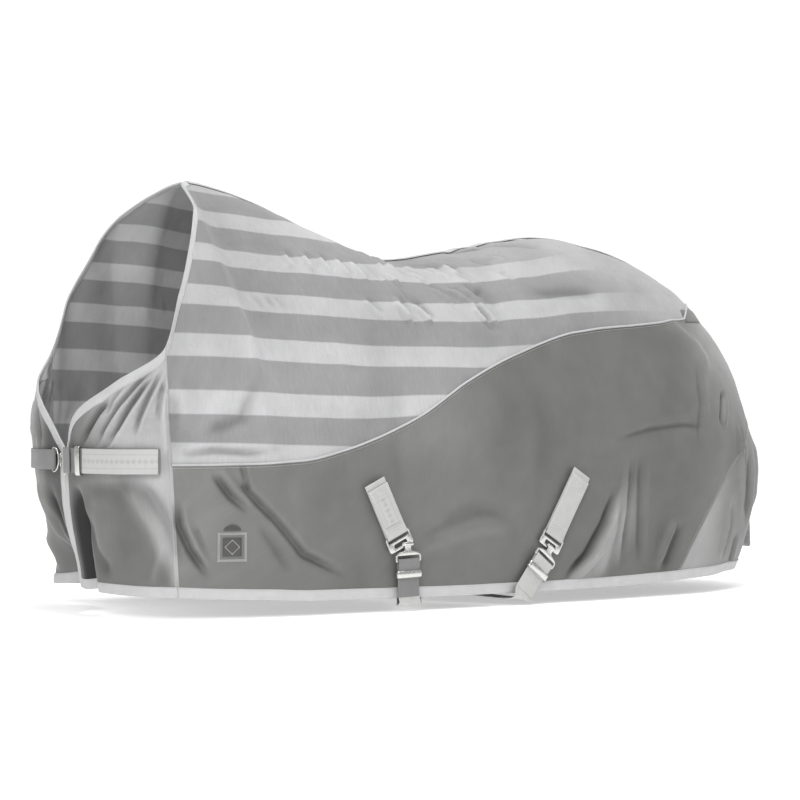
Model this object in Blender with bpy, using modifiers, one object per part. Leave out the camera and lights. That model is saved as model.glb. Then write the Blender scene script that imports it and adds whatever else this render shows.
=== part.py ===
"""A horse's fly sheet, worn: two mesh sides, skirts, chest fronts, rear gussets, tail flap and straps.

Metres, +Z up. The horse faces -X and its left side is -Y. The origin is under the spine seam at the
lowest point of the back. Every cloth panel lies on one surface, given by the stations below.
"""

import math

import bmesh
import bpy
import numpy as np
from mathutils import Matrix, Vector

# Sizes that drive the rest
BACK_LENGTH = 1.42  # spine seam, neck peak to tail seam, measured along X
BARREL_WIDTH = 0.68  # widest part of the sheet across the barrel
SKIRT_DROP = 0.70  # lowest point of the back down to the hem
CLOTH = 0.0020  # mesh and skirt cloth with its turned seams
GAP = 0.0004  # between neighbouring layers
BINDING_WIDTH = 0.019
BINDING_THICK = 0.0012
PIPING_RADIUS = 0.0022
SEAM_GAP = 0.0016  # between two panels sewn together
HINGE_GAP = 0.0040  # between panels that turn on each other
WEBBING_WIDTH = 0.050
WEBBING_THICK = 0.0024
METAL_THICK = 0.0028
PATCH_THICK = 0.0008

LENGTH_SCALE = BACK_LENGTH / 1.42
WIDTH_SCALE = BARREL_WIDTH / 0.68
DROP_SCALE = SKIRT_DROP / 0.70

# One row per station, front closure to rear edge: the top edge point, the hem point and the two
# handles of the curve between them. Columns: x, half width, z of the top; the same of the hem;
# then the top handle and the hem handle as steps from their ends.
STATIONS = (
    (-0.760, 0.003, -0.395, -0.728, 0.003, -0.676, -0.004, 0.000, -0.090, -0.020, 0.000, 0.100),
    (-0.772, 0.070, -0.322, -0.740, 0.075, -0.680, -0.008, 0.008, -0.120, -0.022, 0.004, 0.130),
    (-0.742, 0.175, -0.262, -0.712, 0.175, -0.683, -0.012, 0.016, -0.140, -0.014, 0.012, 0.150),
    (-0.672, 0.250, -0.195, -0.648, 0.256, -0.686, 0.0080, 0.0020, -0.1637, -0.0080, -0.0020, 0.1637),
    (-0.637, 0.244, -0.088, -0.575, 0.284, -0.690, 0.000, 0.040, -0.100, -0.008, 0.008, 0.280),
    (-0.594, 0.208, 0.010, -0.510, 0.302, -0.692, 0.000, 0.055, -0.070, 0.000, 0.014, 0.350),
    (-0.558, 0.160, 0.083, -0.455, 0.312, -0.694, 0.000, 0.090, -0.070, 0.000, 0.020, 0.400),
    (-0.490, 0.003, 0.152, -0.400, 0.318, -0.697, 0.000, 0.150, -0.050, 0.000, 0.028, 0.430),
    (-0.360, 0.003, 0.121, -0.280, 0.325, -0.699, 0.000, 0.190, -0.030, 0.000, 0.028, 0.450),
    (-0.190, 0.003, 0.053, -0.140, 0.328, -0.700, 0.000, 0.240, -0.012, 0.000, 0.026, 0.460),
    (-0.020, 0.003, 0.002, 0.000, 0.328, -0.701, 0.000, 0.260, -0.005, 0.000, 0.026, 0.460),
    (0.160, 0.003, 0.026, 0.140, 0.322, -0.701, 0.000, 0.250, -0.005, 0.000, 0.028, 0.460),
    (0.380, 0.003, 0.060, 0.300, 0.312, -0.700, 0.000, 0.220, -0.006, 0.000, 0.028, 0.460),
    (0.560, 0.003, 0.038, 0.450, 0.300, -0.698, 0.000, 0.200, -0.012, 0.000, 0.030, 0.440),
    (0.720, 0.003, -0.022, 0.580, 0.282, -0.694, 0.000, 0.180, -0.030, 0.020, 0.030, 0.400),
    (0.830, 0.003, -0.105, 0.680, 0.255, -0.690, 0.010, 0.170, -0.060, 0.050, 0.030, 0.330),
    (0.900, 0.003, -0.200, 0.760, 0.220, -0.686, 0.015, 0.130, -0.060, 0.070, 0.030, 0.260),
    (0.915, 0.003, -0.290, 0.814, 0.190, -0.684, 0.000, 0.120, -0.020, 0.082, 0.042, 0.220),
    (0.912, 0.050, -0.350, 0.872, 0.115, -0.672, 0.008, 0.004, -0.090, 0.032, 0.000, 0.120),
)
CLOSURE, SHOULDER, PEAK, SEAM_END, TAIL, REAR = 0, 3, 7, 15, 17, 18

# Height of the swooping seam between mesh and skirt, against x
SEAM_X = (-0.66, -0.52, -0.395, -0.31, -0.22, -0.12, 0.006, 0.14, 0.32, 0.52, 0.75, 0.84)
SEAM_Z = (-0.421, -0.420, -0.415, -0.398, -0.370, -0.328, -0.258, -0.202, -0.152, -0.132, -0.115, -0.112)


def slopes(xs, ys):
    """The slope at each knot that never makes the curve overshoot."""
    steps = np.diff(ys) / np.diff(xs)
    inner = []
    for before, after in zip(steps[:-1], steps[1:]):
        inner.append(0.0 if before * after <= 0 else 2 * before * after / (before + after))
    return [steps[0], *inner, steps[-1]]


def smooth(xs, ys, at):
    """A smooth value at `at`, through the knots xs and ys."""
    rates = slopes(np.array(xs), np.array(ys))
    at = min(max(at, xs[0]), xs[-1])
    i = min(int(np.searchsorted(xs, at, side="right")) - 1, len(xs) - 2)
    span = xs[i + 1] - xs[i]
    t = (at - xs[i]) / span
    start = (1 + 2 * t) * (1 - t) ** 2 * ys[i] + t * (1 - t) ** 2 * span * rates[i]
    return start + t * t * (3 - 2 * t) * ys[i + 1] + t * t * (t - 1) * span * rates[i + 1]


COLUMNS = np.array(STATIONS).T * np.tile([LENGTH_SCALE, WIDTH_SCALE, DROP_SCALE], 4)[:, None]
KNOTS = np.arange(len(STATIONS), dtype=float)


def station(u):
    """The four points of the curve that runs down the sheet at station u, as left-side points."""
    row = np.array([smooth(KNOTS, column, u) for column in COLUMNS]).reshape(4, 3)
    top, hem = row[0], row[1]
    points = np.array([top, top + row[2], hem + row[3], hem])
    points[:, 1] *= -1
    return points


STATION_AT = {}


def surface(u, v):
    """A point of the left half at station u, v = 0 at the top edge and 1 at the hem."""
    key = round(u, 6)
    if key not in STATION_AT:
        STATION_AT[key] = station(key)
    a, b, c, d = STATION_AT[key]
    w = 1 - v
    return w**3 * a + 3 * w * w * v * b + 3 * w * v * v * c + v**3 * d


def normal(u, v):
    """The outward unit normal of the left half there."""
    u0, u1 = max(u - 0.02, 0.0), min(u + 0.02, float(REAR))
    v0, v1 = max(v - 0.01, 0.0), min(v + 0.01, 1.0)
    along = surface(u1, v) - surface(u0, v)
    down = surface(u, v1) - surface(u, v0)
    out = np.cross(down, along)
    out /= np.linalg.norm(out)
    return -out if out @ outward_hint(u, v) < 0 else out


def outward_hint(u, v):
    """Roughly away from the horse: from a line inside the barrel to the point."""
    x, y, z = surface(u, v)
    inside = np.array([min(max(x, -0.45 * LENGTH_SCALE), 0.60 * LENGTH_SCALE), 0.0, z - 0.12])
    if v > 0.35:
        inside[2] = z
    return np.array([x, y, z]) - inside


def v_at_height(u, z):
    """Where the curve at station u passes height z."""
    low, high = 0.0, 1.0
    for _ in range(40):
        middle = (low + high) / 2
        if surface(u, middle)[2] > z:
            low = middle
        else:
            high = middle
    return (low + high) / 2


def seam_v(u):
    """v of the swooping seam at station u; 0 where it has met the spine."""
    if u >= SEAM_END:
        return 0.0
    v = 0.3
    for _ in range(30):
        x = surface(u, v)[0] / LENGTH_SCALE
        v = 0.5 * v + 0.5 * v_at_height(u, smooth(SEAM_X, SEAM_Z, x) * DROP_SCALE)
    return v if u < SEAM_END - 1 else v * (SEAM_END - u)
# ---- end of numeric part


# Scene and collections
for old in list(bpy.data.objects):
    bpy.data.objects.remove(old)
SHEET = bpy.data.collections.new("fly_sheet")
CUTTERS = bpy.data.collections.new("cutters")
CUTTERS.hide_render = True
bpy.context.scene.collection.children.link(SHEET)
bpy.context.scene.collection.children.link(CUTTERS)

COLOURS = {
    "mesh": (0.55, 0.55, 0.54),
    "skirt": (0.24, 0.24, 0.235),
    "gusset": (0.42, 0.42, 0.41),
    "binding": (0.62, 0.62, 0.60),
    "webbing": (0.50, 0.50, 0.48),
    "label": (0.70, 0.70, 0.69),
    "steel": (0.60, 0.60, 0.61),
}


def material(kind):
    """The Principled material of a kind, made once."""
    found = bpy.data.materials.get(kind)
    if found:
        return found
    made = bpy.data.materials.new(kind)
    made.use_nodes = True
    shader = made.node_tree.nodes["Principled BSDF"]
    shader.inputs["Base Color"].default_value = (*COLOURS[kind], 1.0)
    shader.inputs["Roughness"].default_value = 0.25 if kind == "steel" else 0.8
    shader.inputs["Metallic"].default_value = 1.0 if kind == "steel" else 0.0
    return made


def link(obj, kind):
    """Puts an object in the sheet's collection with its own copy of a material."""
    own = material(kind).copy()
    own.name = obj.name + "_" + kind
    obj.data.materials.append(own)
    SHEET.objects.link(obj)
    return obj


def shell(name, grid, thick, kind, crossed=()):
    """A grid of points, rows of equal length, as a sheet of this thickness.

    crossed lists the columns whose cells are split along the other diagonal.
    """
    grid = np.array(grid)
    rows, count = grid.shape[:2]
    faces = []
    for i in range(rows - 1):
        for j in range(count - 1):
            a, b = i * count + j, (i + 1) * count + j
            if j in crossed:
                faces += [(a, b, a + 1), (b, b + 1, a + 1)]
            else:
                faces += [(a, b, b + 1), (a, b + 1, a + 1)]
    mesh = bpy.data.meshes.new(name)
    mesh.from_pydata([tuple(p) for p in grid.reshape(-1, 3)], [], faces)
    mesh.update()
    obj = bpy.data.objects.new(name, mesh)
    solid = obj.modifiers.new("Thickness", "SOLIDIFY")
    solid.thickness = thick
    solid.offset = 0.0
    return link(obj, kind)


def mirrored(grid, side):
    """The same grid on the left (side 1) or the right (side -1)."""
    return np.array(grid) * np.array([1.0, side, 1.0])


def lifted(u, v, off):
    """A surface point moved out along the normal."""
    return surface(u, v) + normal(u, v) * off


def dv_of(u, v, dist):
    """The step in v that covers this distance down the sheet."""
    return dist / (np.linalg.norm(surface(u, v + 0.005) - surface(u, v - 0.005)) / 0.01)


def du_of(u, v, dist):
    """The step in u that covers this distance along the sheet."""
    return dist / (np.linalg.norm(surface(u + 0.005, v) - surface(u - 0.005, v)) / 0.01)


def steps(start, end, spacing=0.5):
    """Even steps from start to end, landing on every half station in between."""
    inner = [k * spacing for k in range(int(start / spacing) + 1, int(math.ceil(end / spacing)))]
    return [start, *[u for u in inner if start + 0.1 < u < end - 0.1], end]


HALF = 0.5 * SEAM_GAP
EDGE = 0.0012  # cloth edge stands this far back inside its binding
FOLD_GAP = 0.0018  # between the cloth and each leg of a folded binding
LAYER = 0.5 * CLOTH + FOLD_GAP + 0.5 * BINDING_THICK  # binding's middle, off the cloth's middle
SKIRT_SHARES = (0.0, 0.03, 0.12, 0.25, 0.5, 0.75, 0.93, 1.0)


def front_trim(v):
    """The two u values where the panels stop either side of the shoulder hinge."""
    step = du_of(float(SHOULDER), v, 0.5 * HINGE_GAP)
    return SHOULDER - step, SHOULDER + step


def gusset_u(b):
    """The station of the slanting gusset seam, b from the tail seam (0) to the hem (1)."""
    return smooth((0.0, 0.25, 0.5, 0.75, 1.0), (17.33, 17.0, 16.3, 15.2, 13.9), b)


def within(v):
    """v kept a little off the ends, where the surface can be measured."""
    return min(max(v, 0.02), 0.98)


def skirt_point(u, b):
    """A point of the lower skirt or gusset at share b of the way from the top seam to the hem."""
    top = seam_v(u)
    v = top + b * (1.0 - top)
    if b == 1.0:
        v -= dv_of(u, 0.98, EDGE)
    elif b == SKIRT_SHARES[-2]:
        v = 1.0 - dv_of(u, 0.98, BINDING_WIDTH)
    elif b == 0.0:
        v += dv_of(u, within(v), HALF)
    return surface(u, v)


MESH_STATIONS = (3.25, 3.5, 3.75, *np.arange(4.0, 6.6, 0.5), 6.8, *np.arange(7.0, 14.6, 0.5), 14.82)


def skirt_grid():
    first = front_trim(0.4)[1]
    top = [first, *MESH_STATIONS, 15.2, 15.6, 16.0, 16.5, 17.0, gusset_u(0.0)]
    rows = []
    for b in SKIRT_SHARES:
        v = seam_v(3.0) + b * (1.0 - seam_v(3.0))
        start = front_trim(within(v))[1]
        end = gusset_u(b) - du_of(gusset_u(b), within(b), HALF)
        shares = [(u - top[0]) / (top[-1] - top[0]) for u in top]
        rows.append([skirt_point(start + c * (end - start), b) for c in shares])
    return np.array(rows)


def gusset_grid():
    rows = []
    for b in SKIRT_SHARES:
        start = gusset_u(b) + du_of(gusset_u(b), within(b), HALF)
        here = within(b)
        last = REAR - du_of(REAR - 0.1, here, EDGE)
        inner = REAR - du_of(REAR - 0.1, here, BINDING_WIDTH)
        clear = REAR - du_of(REAR - 0.1, here, BINDING_WIDTH + 0.004)
        middle = [start + c * (clear - start) for c in (0.0, 0.2, 0.4, 0.6, 0.8)]
        rows.append([skirt_point(u, b) for u in (*middle, clear, inner, last)])
    return np.array(rows)


def mesh_grid():
    """The mesh side: its front edge is at the shoulder, its top at the neck edge and the spine."""
    first = front_trim(0.2)[1]
    rows = []
    for c in (0.0, 0.06, 0.2, 0.4, 0.62, 0.82, 1.0):
        row = []
        for u in (first, *MESH_STATIONS):
            seam = seam_v(u)
            low = seam - dv_of(u, within(seam), HALF)
            top = dv_of(u, 0.02, EDGE) if u < PEAK else 0.0
            v = top + c * (low - top)
            if c == 0.06 and u <= PEAK:
                v = dv_of(u, 0.03, BINDING_WIDTH)
            row.append(surface(u, v))
        rows.append(row)
    return np.array(rows)


def chest_grid():
    rows = []
    for share in (0.0, 0.1, 0.3, 0.5, 0.7, 0.86, 1.0):
        here = within(share)
        across = [du_of(0.1, here, EDGE), du_of(0.1, here, BINDING_WIDTH)]
        across.append(du_of(0.1, here, BINDING_WIDTH + 0.004))
        across += [0.75, 1.25, 1.75, 2.25, 2.65, front_trim(here)[0]]
        row = []
        for u in across:
            v = share
            if share in (0.0, 0.1):
                v = dv_of(u, 0.03, EDGE if share == 0.0 else BINDING_WIDTH)
            elif share in (0.86, 1.0):
                v = 1.0 - dv_of(u, 0.97, EDGE if share == 1.0 else BINDING_WIDTH)
            row.append(surface(u, v))
        rows.append(row)
    return np.array(rows)


def binding(side, name, edge, inner, leg_split, lift=LAYER):
    """A tape folded over a cloth edge, its legs lying on the row of cloth that ends at `inner`.

    leg_split is the leg (0 outer, 3 inner) whose cells are split the other way, to match the cloth.
    """
    rows = []
    for i in range(len(edge)):
        after, before = min(i + 1, len(edge) - 1), max(i - 1, 0)
        outward = (edge[i] - inner[i]) / np.linalg.norm(edge[i] - inner[i])
        out = np.cross(edge[after] - edge[before], outward)
        out /= np.linalg.norm(out)
        lip = edge[i] + outward * (EDGE + 0.0018)
        fold = lip + outward * 0.0006
        profile = (inner[i] + out * lift, lip + out * lift, fold, lip - out * lift, inner[i] - out * lift)
        rows.append(profile)
    return shell(name, mirrored(rows, side), BINDING_THICK, "binding", (leg_split,))


def tube(name, points, radius, kind, cyclic=False, resolution=1):
    """A round cord or wire through the points."""
    curve = bpy.data.curves.new(name, "CURVE")
    curve.dimensions = "3D"
    curve.bevel_depth = radius
    curve.bevel_resolution = resolution
    curve.use_fill_caps = True
    spline = curve.splines.new("POLY")
    spline.points.add(len(points) - 1)
    for point, co in zip(spline.points, points):
        point.co = (*co, 1.0)
    spline.use_cyclic_u = cyclic
    raw = bpy.data.objects.new(name + "_curve", curve)
    CUTTERS.objects.link(raw)
    bpy.context.view_layer.update()
    mesh = bpy.data.meshes.new_from_object(raw.evaluated_get(bpy.context.evaluated_depsgraph_get()))
    bpy.data.objects.remove(raw)
    work = bmesh.new()
    work.from_mesh(mesh)
    bmesh.ops.remove_doubles(work, verts=work.verts, dist=0.00002)
    bmesh.ops.recalc_face_normals(work, faces=work.faces)
    work.to_mesh(mesh)
    work.free()
    mesh.name = name
    mesh.materials.clear()
    return link(bpy.data.objects.new(name, mesh), kind)


SKIRT, GUSSET, MESH, CHEST = skirt_grid(), gusset_grid(), mesh_grid(), chest_grid()
SIDES = ((1, "left"), (-1, "right"))
for side, word in SIDES:
    shell(word + "_upper_mesh", mirrored(MESH, side), CLOTH, "mesh")
    shell(word + "_lower_skirt", mirrored(SKIRT, side), CLOTH, "skirt")
    shell(word + "_rear_gusset", mirrored(GUSSET, side), CLOTH, "gusset")
    shell(word + "_chest_panel", mirrored(CHEST, side), CLOTH, "skirt")
    binding(side, word + "_neck_binding", MESH[0, :11], MESH[1, :11], 0, 1.6 * LAYER)
    binding(side, word + "_chest_neck_binding", CHEST[0, 2:], CHEST[1, 2:], 0)
    binding(side, word + "_chest_hem_binding", CHEST[-1, 2:], CHEST[-2, 2:], 3)
    hem = np.concatenate([SKIRT[-1], GUSSET[-1, 1:-2]])
    hem_inner = np.concatenate([SKIRT[-2], GUSSET[-2, 1:-2]])
    binding(side, word + "_hem_binding", hem, hem_inner, 3, 1.1 * LAYER)
    binding(side, word + "_front_edge_binding", CHEST[:, 0], CHEST[:, 1], 0)
    binding(side, word + "_rear_edge_binding", GUSSET[3:, -1], GUSSET[3:, -2], 3, 1.3 * LAYER)
    cord = []
    for u in (front_trim(0.4)[1] + 0.03, *MESH_STATIONS[:-1]):
        cord.append(lifted(u, seam_v(u), 0.5 * CLOTH + 0.0009 + PIPING_RADIUS))
    tube(word + "_seam_piping", mirrored(cord, side), PIPING_RADIUS, "binding", False, 0)
# ---- end of cloth


def tube_free(name, path, width_dirs, width, thick, kind):
    """A flat tape along a path; width_dirs gives the direction across it at each point."""
    rows = [[p - d * width / 2, p, p + d * width / 2] for p, d in zip(path, width_dirs)]
    return shell(name, rows, thick, kind)


def frame_at(x, z, down):
    """Origin on the left skirt at (x, z), with the strap direction, across and outward unit vectors."""
    u, v = 10.0, 0.7
    for _ in range(60):
        here = surface(u, v)
        u = min(max(u + (x - here[0]) * 6.0, 3.1), 16.5)
        v = v_at_height(u, z)
    out = normal(u, v)
    along = np.array(down, dtype=float)
    along -= out * (along @ out)
    along /= np.linalg.norm(along)
    return surface(u, v), along, np.cross(out, along), out


def local(frame, s, w, n):
    """The point s down the strap, w across it and n out from the cloth's middle."""
    origin, along, across, out = frame
    return origin + along * s + across * w + out * n


TURN = 0.0033  # half the height between the two layers of webbing at a bar


def fold(frame, bar_s, tip_s, length, near, sign):
    """Centre line of webbing that runs to a bar at bar_s, turns round it and comes back.

    near is the height of the layer that lies on the cloth; sign is +1 if the strap runs down to it.
    """
    far = near + 2 * TURN
    points = [(tip_s, near), (bar_s - sign * 0.016, near), (bar_s, near)]
    for k in range(1, 6):
        angle = math.pi * k / 6
        points.append((bar_s + sign * TURN * math.sin(angle), near + TURN - TURN * math.cos(angle)))
    points += [(bar_s, far), (bar_s - sign * 0.016, far - 0.0016), (length, far - 0.0028)]
    return [local(frame, s, 0.0, n) for s, n in points]


def tape(name, frame, centres, width, kind="webbing", thick=WEBBING_THICK):
    across = frame[2]
    return tube_free(name, centres, [across] * len(centres), width, thick, kind)


def plate(name, frame, outline, slots, n, thick=METAL_THICK):
    """A flat metal piece: an outline in (s, w), with slots cut through it, at height n."""
    work = bmesh.new()
    low = [work.verts.new(local(frame, s, w, n - thick / 2)) for s, w in outline]
    high = [work.verts.new(local(frame, s, w, n + thick / 2)) for s, w in outline]
    work.faces.new(low)
    work.faces.new(high[::-1])
    for i in range(len(outline)):
        j = (i + 1) % len(outline)
        work.faces.new((low[i], high[i], high[j], low[j]))
    bmesh.ops.recalc_face_normals(work, faces=work.faces)
    mesh = bpy.data.meshes.new(name)
    work.to_mesh(mesh)
    work.free()
    obj = bpy.data.objects.new(name, mesh)
    for k, (s0, s1, w0, w1) in enumerate(slots):
        obj.modifiers.new(f"Slot {k}", "BOOLEAN").object = cutter(f"{name}_slot_{k}", frame, s0, s1, w0, w1, n)
        obj.modifiers[-1].operation = "DIFFERENCE"
        obj.modifiers[-1].solver = "EXACT"
    return link(obj, "steel")


def cutter(name, frame, s0, s1, w0, w1, n):
    """A hidden box that reaches well through a plate."""
    corners = [(s, w, n + h) for s in (s0, s1) for w in (w0, w1) for h in (-0.01, 0.01)]
    work = bmesh.new()
    verts = [work.verts.new(local(frame, *c)) for c in corners]
    for face in ((0, 1, 3, 2), (4, 6, 7, 5), (0, 4, 5, 1), (2, 3, 7, 6), (0, 2, 6, 4), (1, 5, 7, 3)):
        work.faces.new([verts[i] for i in face])
    bmesh.ops.recalc_face_normals(work, faces=work.faces)
    mesh = bpy.data.meshes.new(name)
    work.to_mesh(mesh)
    work.free()
    box = bpy.data.objects.new(name, mesh)
    box.hide_render = True
    box.display_type = "WIRE"
    CUTTERS.objects.link(box)
    return box


def rounded(s0, s1, w0, w1, r):
    """A rectangle's outline in (s, w) with its corners cut."""
    return [(s0 + r, w0), (s1 - r, w0), (s1, w0 + r), (s1, w1 - r), (s1 - r, w1), (s0 + r, w1), (s0, w1 - r), (s0, w0 + r)]


def keeper(name, frame, s, low, high, width):
    """A moulded ring round the webbing: inner heights low to high, 14 mm long."""
    wall = 0.0022
    half = width / 2 + 0.0009
    ring = []
    for w, n in ((-half, low), (half, low), (half, high), (-half, high)):
        outer_w = w + math.copysign(wall, w)
        outer_n = n - wall if n == low else n + wall
        ring.append(((w, n), (outer_w, outer_n)))
    work = bmesh.new()
    verts = []
    for (w, n), (ow, on) in ring:
        for at in (s - 0.007, s + 0.007):
            verts.append((work.verts.new(local(frame, at, w, n)), work.verts.new(local(frame, at, ow, on))))
    for i in range(4):
        a0, a1, b0, b1 = verts[2 * i], verts[2 * i + 1], verts[(2 * i + 2) % 8], verts[(2 * i + 3) % 8]
        work.faces.new((a0[0], b0[0], b1[0], a1[0]))
        work.faces.new((a0[1], a1[1], b1[1], b0[1]))
        work.faces.new((a0[0], a0[1], b0[1], b0[0]))
        work.faces.new((a1[0], b1[0], b1[1], a1[1]))
    bmesh.ops.recalc_face_normals(work, faces=work.faces)
    mesh = bpy.data.meshes.new(name)
    work.to_mesh(mesh)
    work.free()
    return link(bpy.data.objects.new(name, mesh), "steel")


def moved(frame, s):
    """The same frame with its origin s further down the strap."""
    return (local(frame, s, 0.0, 0.0), *frame[1:])


NEAR = 0.5 * CLOTH + 0.0032 + 0.5 * WEBBING_THICK  # the under layer of a fastener, off the cloth's middle
BAR_N = NEAR + TURN  # a bar lies between the two layers of its webbing
HALF_WEB = WEBBING_WIDTH / 2


def eye_plate(name, frame):
    """The slotted plate sewn to the tab: a webbing bar at s = 0 and the slot below it."""
    outline = rounded(-0.0025, 0.030, -HALF_WEB - 0.005, HALF_WEB + 0.005, 0.004)
    slots = [(0.0013, 0.0105, -HALF_WEB - 0.001, HALF_WEB + 0.001), (0.0155, 0.0245, -0.016, 0.016)]
    return plate(name, frame, outline, slots, BAR_N)


def hook_plate(name, frame, n):
    """The T-shaped hook: its webbing bar at s = 0, its neck and head reaching up (negative s)."""
    half = HALF_WEB + 0.005
    right = [(0.0025, half - 0.003), (0.0, half), (-0.011, half), (-0.015, half - 0.004), (-0.020, 0.007)]
    right += [(-0.029, 0.007), (-0.030, 0.013), (-0.035, 0.013), (-0.037, 0.010)]
    outline = [*right, *[(s, -w) for s, w in reversed(right)]]
    slots = [(-0.0105, -0.0013, -HALF_WEB - 0.001, HALF_WEB + 0.001)]
    return plate(name, frame, outline, slots, n)


def surcingle(prefix, tab_top, lock, hem, label):
    """The near-side half of one crossed surcingle: tab, plate, hook, keeper and strap end."""
    down = (lock[0] - tab_top[0], 0.0, lock[1] - tab_top[1])
    frame = frame_at(*lock, down)
    length = math.dist(tab_top, lock) * 0.99
    centres = fold(frame, 0.0, -length, -length + 0.012, NEAR, 1)
    tape(prefix + "_surcingle_tab", frame, centres, WEBBING_WIDTH)
    eye_plate(prefix + "_surcingle_eye_plate", frame)
    if label:
        top = BAR_N + TURN + 0.5 * WEBBING_THICK + 0.0006
        patch = [local(frame, s, 0.0, top + h) for s, h in ((-0.078, -0.0018), (-0.024, -0.0012))]
        tape(prefix + "_surcingle_label", frame, patch, 0.8 * WEBBING_WIDTH, "label", PATCH_THICK)
    end_down = (hem[0] - lock[0], 0.0, hem[1] - lock[1])
    joint = frame_at(lock[0] + 0.55 * (hem[0] - lock[0]), lock[1] + 0.55 * (hem[1] - lock[1]), end_down)
    return frame, joint, end_down


# Surcingles: tab top, lock and hem as (x, z) on the left skirt
FRONT_LOCK = surcingle("front", (-0.243, -0.458), (-0.192, -0.566), (-0.186, -0.700), True)
REAR_LOCK = surcingle("rear", (0.285, -0.448), (0.205, -0.580), (0.110, -0.700), False)
STRAP_LIFT = 0.5 * CLOTH + FOLD_GAP + BINDING_THICK + 0.0028 + 0.5 * WEBBING_THICK
HEM_Z = -SKIRT_DROP
BELLY_Z = {"front": -0.650, "rear": -0.668}
BELLY_RISE = {"front": 0.030, "rear": 0.014}
HINGES = {}
SEWN_END = {"front": (0.285, -0.455), "rear": (-0.225, -0.462)}  # on the right side, (x, z)


def side_point(x, z, off):
    """A point this far off the right skirt."""
    frame = frame_at(x, z, (0.0, 0.0, -1.0))
    return local(frame, 0.0, 0.0, off) * np.array([1.0, -1.0, 1.0])


def belly_strap(word, start, start_across, hem_xy):
    """One webbing: from the near-side hinge, under the belly, and up the far side to its sewn end."""
    far_x, far_z = SEWN_END[word]
    low = HEM_Z - 0.0078
    y = hem_xy[1]
    plan = np.array([far_x - hem_xy[0], -2 * y, 0.0])
    plan /= np.linalg.norm(plan)
    under = np.array([plan[1], -plan[0], 0.0])
    side_across = np.array([1.0, 0.0, 0.0])
    half = start_across + under
    path = [start, np.array([hem_xy[0], y - 0.0035, HEM_Z - 0.001])]
    across = [start_across, start_across]
    for share, z in ((0.0, low), (0.03, low + 0.001), (0.25, low + BELLY_RISE[word]), (0.5, None), (0.75, low + BELLY_RISE[word])):
        z = BELLY_Z[word] if z is None else z
        path.append(np.array([hem_xy[0] + share * (far_x - hem_xy[0]), y * (1 - 2 * share), z]))
        across.append(half if share == 0.0 else under)
    for share, z in ((0.97, low + 0.001), (1.0, low)):
        path.append(np.array([hem_xy[0] + share * (far_x - hem_xy[0]), y * (1 - 2 * share), z]))
        across.append(under + side_across)
    path.append(np.array([far_x, -y + 0.0045, HEM_Z - 0.001]))
    across.append(side_across)
    for z in (-0.680, -0.62, -0.56, -0.50, far_z):
        path.append(side_point(far_x, z, STRAP_LIFT))
        across.append(side_across)
    across = [a / np.linalg.norm(a) for a in across]
    return tube_free(word + "_belly_strap", path, across, WEBBING_WIDTH, WEBBING_THICK, "webbing")


for word, lock in (("front", FRONT_LOCK), ("rear", REAR_LOCK)):
    frame, joint, end_down = lock
    hook_n = BAR_N + METAL_THICK + 0.0012
    down_frame = frame_at(frame[0][0], frame[0][2], end_down)
    hook_frame = (local(frame, 0.058, 0.0, 0.0), *down_frame[1:])
    hook_plate(word + "_surcingle_hook", hook_frame, hook_n)
    near = hook_n - TURN
    to_hem = (hook_frame[0][2] - HEM_Z) / -hook_frame[1][2]
    reach = to_hem - 0.012
    centres = fold(hook_frame, 0.0, reach, 0.036, near, -1)
    tape(word + "_surcingle_strap_end", hook_frame, centres, WEBBING_WIDTH)
    keeper(word + "_surcingle_keeper", hook_frame, 0.027, near - 0.0018, near + 0.0068, WEBBING_WIDTH)
    start = local(hook_frame, reach + 0.0035, 0.0, near)
    at_hem = local(hook_frame, to_hem, 0.0, near)
    belly_strap(word, start, hook_frame[2], at_hem[:2])
    HINGES[word] = (local(hook_frame, reach + 0.0006, 0.0, near), hook_frame)

# Chest closure: a strap on the left front, its hook, and a ring on the right front
CHEST_Z = -0.414 * DROP_SCALE


def chest_point(u, z, off):
    return lifted(u, v_at_height(u, z), off)


def chest_frame(u, side):
    """On the chest front at strap height: the strap direction runs away from the closure."""
    v = v_at_height(u, CHEST_Z)
    out = normal(u, v)
    along = surface(u + 0.1, v_at_height(u + 0.1, CHEST_Z)) - surface(u, v)
    along[2] = 0.0
    along /= np.linalg.norm(along)
    out -= along * (out @ along)
    out /= np.linalg.norm(out)
    origin, across = surface(u, v), np.cross(out, along)
    if side < 0:
        flip = np.array([1.0, -1.0, 1.0])
        origin, along, across, out = origin * flip, along * flip, across * flip, out * flip
    return origin, along, across, out


CHEST_OFF = 0.5 * CLOTH + FOLD_GAP + BINDING_THICK + 0.0042 + 0.5 * WEBBING_THICK
chest_u = du_of(0.3, 0.3, 0.047)
left_chest = chest_frame(chest_u, 1)
hook_plate("chest_strap_hook", left_chest, CHEST_OFF + TURN)
UP = np.array([0.0, 0.0, 1.0])
folded = fold(left_chest, 0.0, 0.030, 0.034, CHEST_OFF, -1)
body = [chest_point(u, CHEST_Z, CHEST_OFF + bump) for u, bump in ((2.75, -0.002), (2.4, -0.001), (2.0, 0.0), (1.6, 0.0))]
slider_frame = chest_frame(1.2, 1)
body += [local(slider_frame, s, 0.0, CHEST_OFF) for s in (0.018, 0.0, -0.014)]  # straight through the slider
path = [*body, *folded]
tilt = left_chest[2] * math.copysign(1.0, left_chest[2][2])
slider_tilt = slider_frame[2] * math.copysign(1.0, slider_frame[2][2])
dirs = [*[UP] * (len(body) - 3), *[slider_tilt] * 3, *[tilt] * len(folded)]
tube_free("chest_strap", path, dirs, WEBBING_WIDTH, WEBBING_THICK, "webbing")
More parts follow.
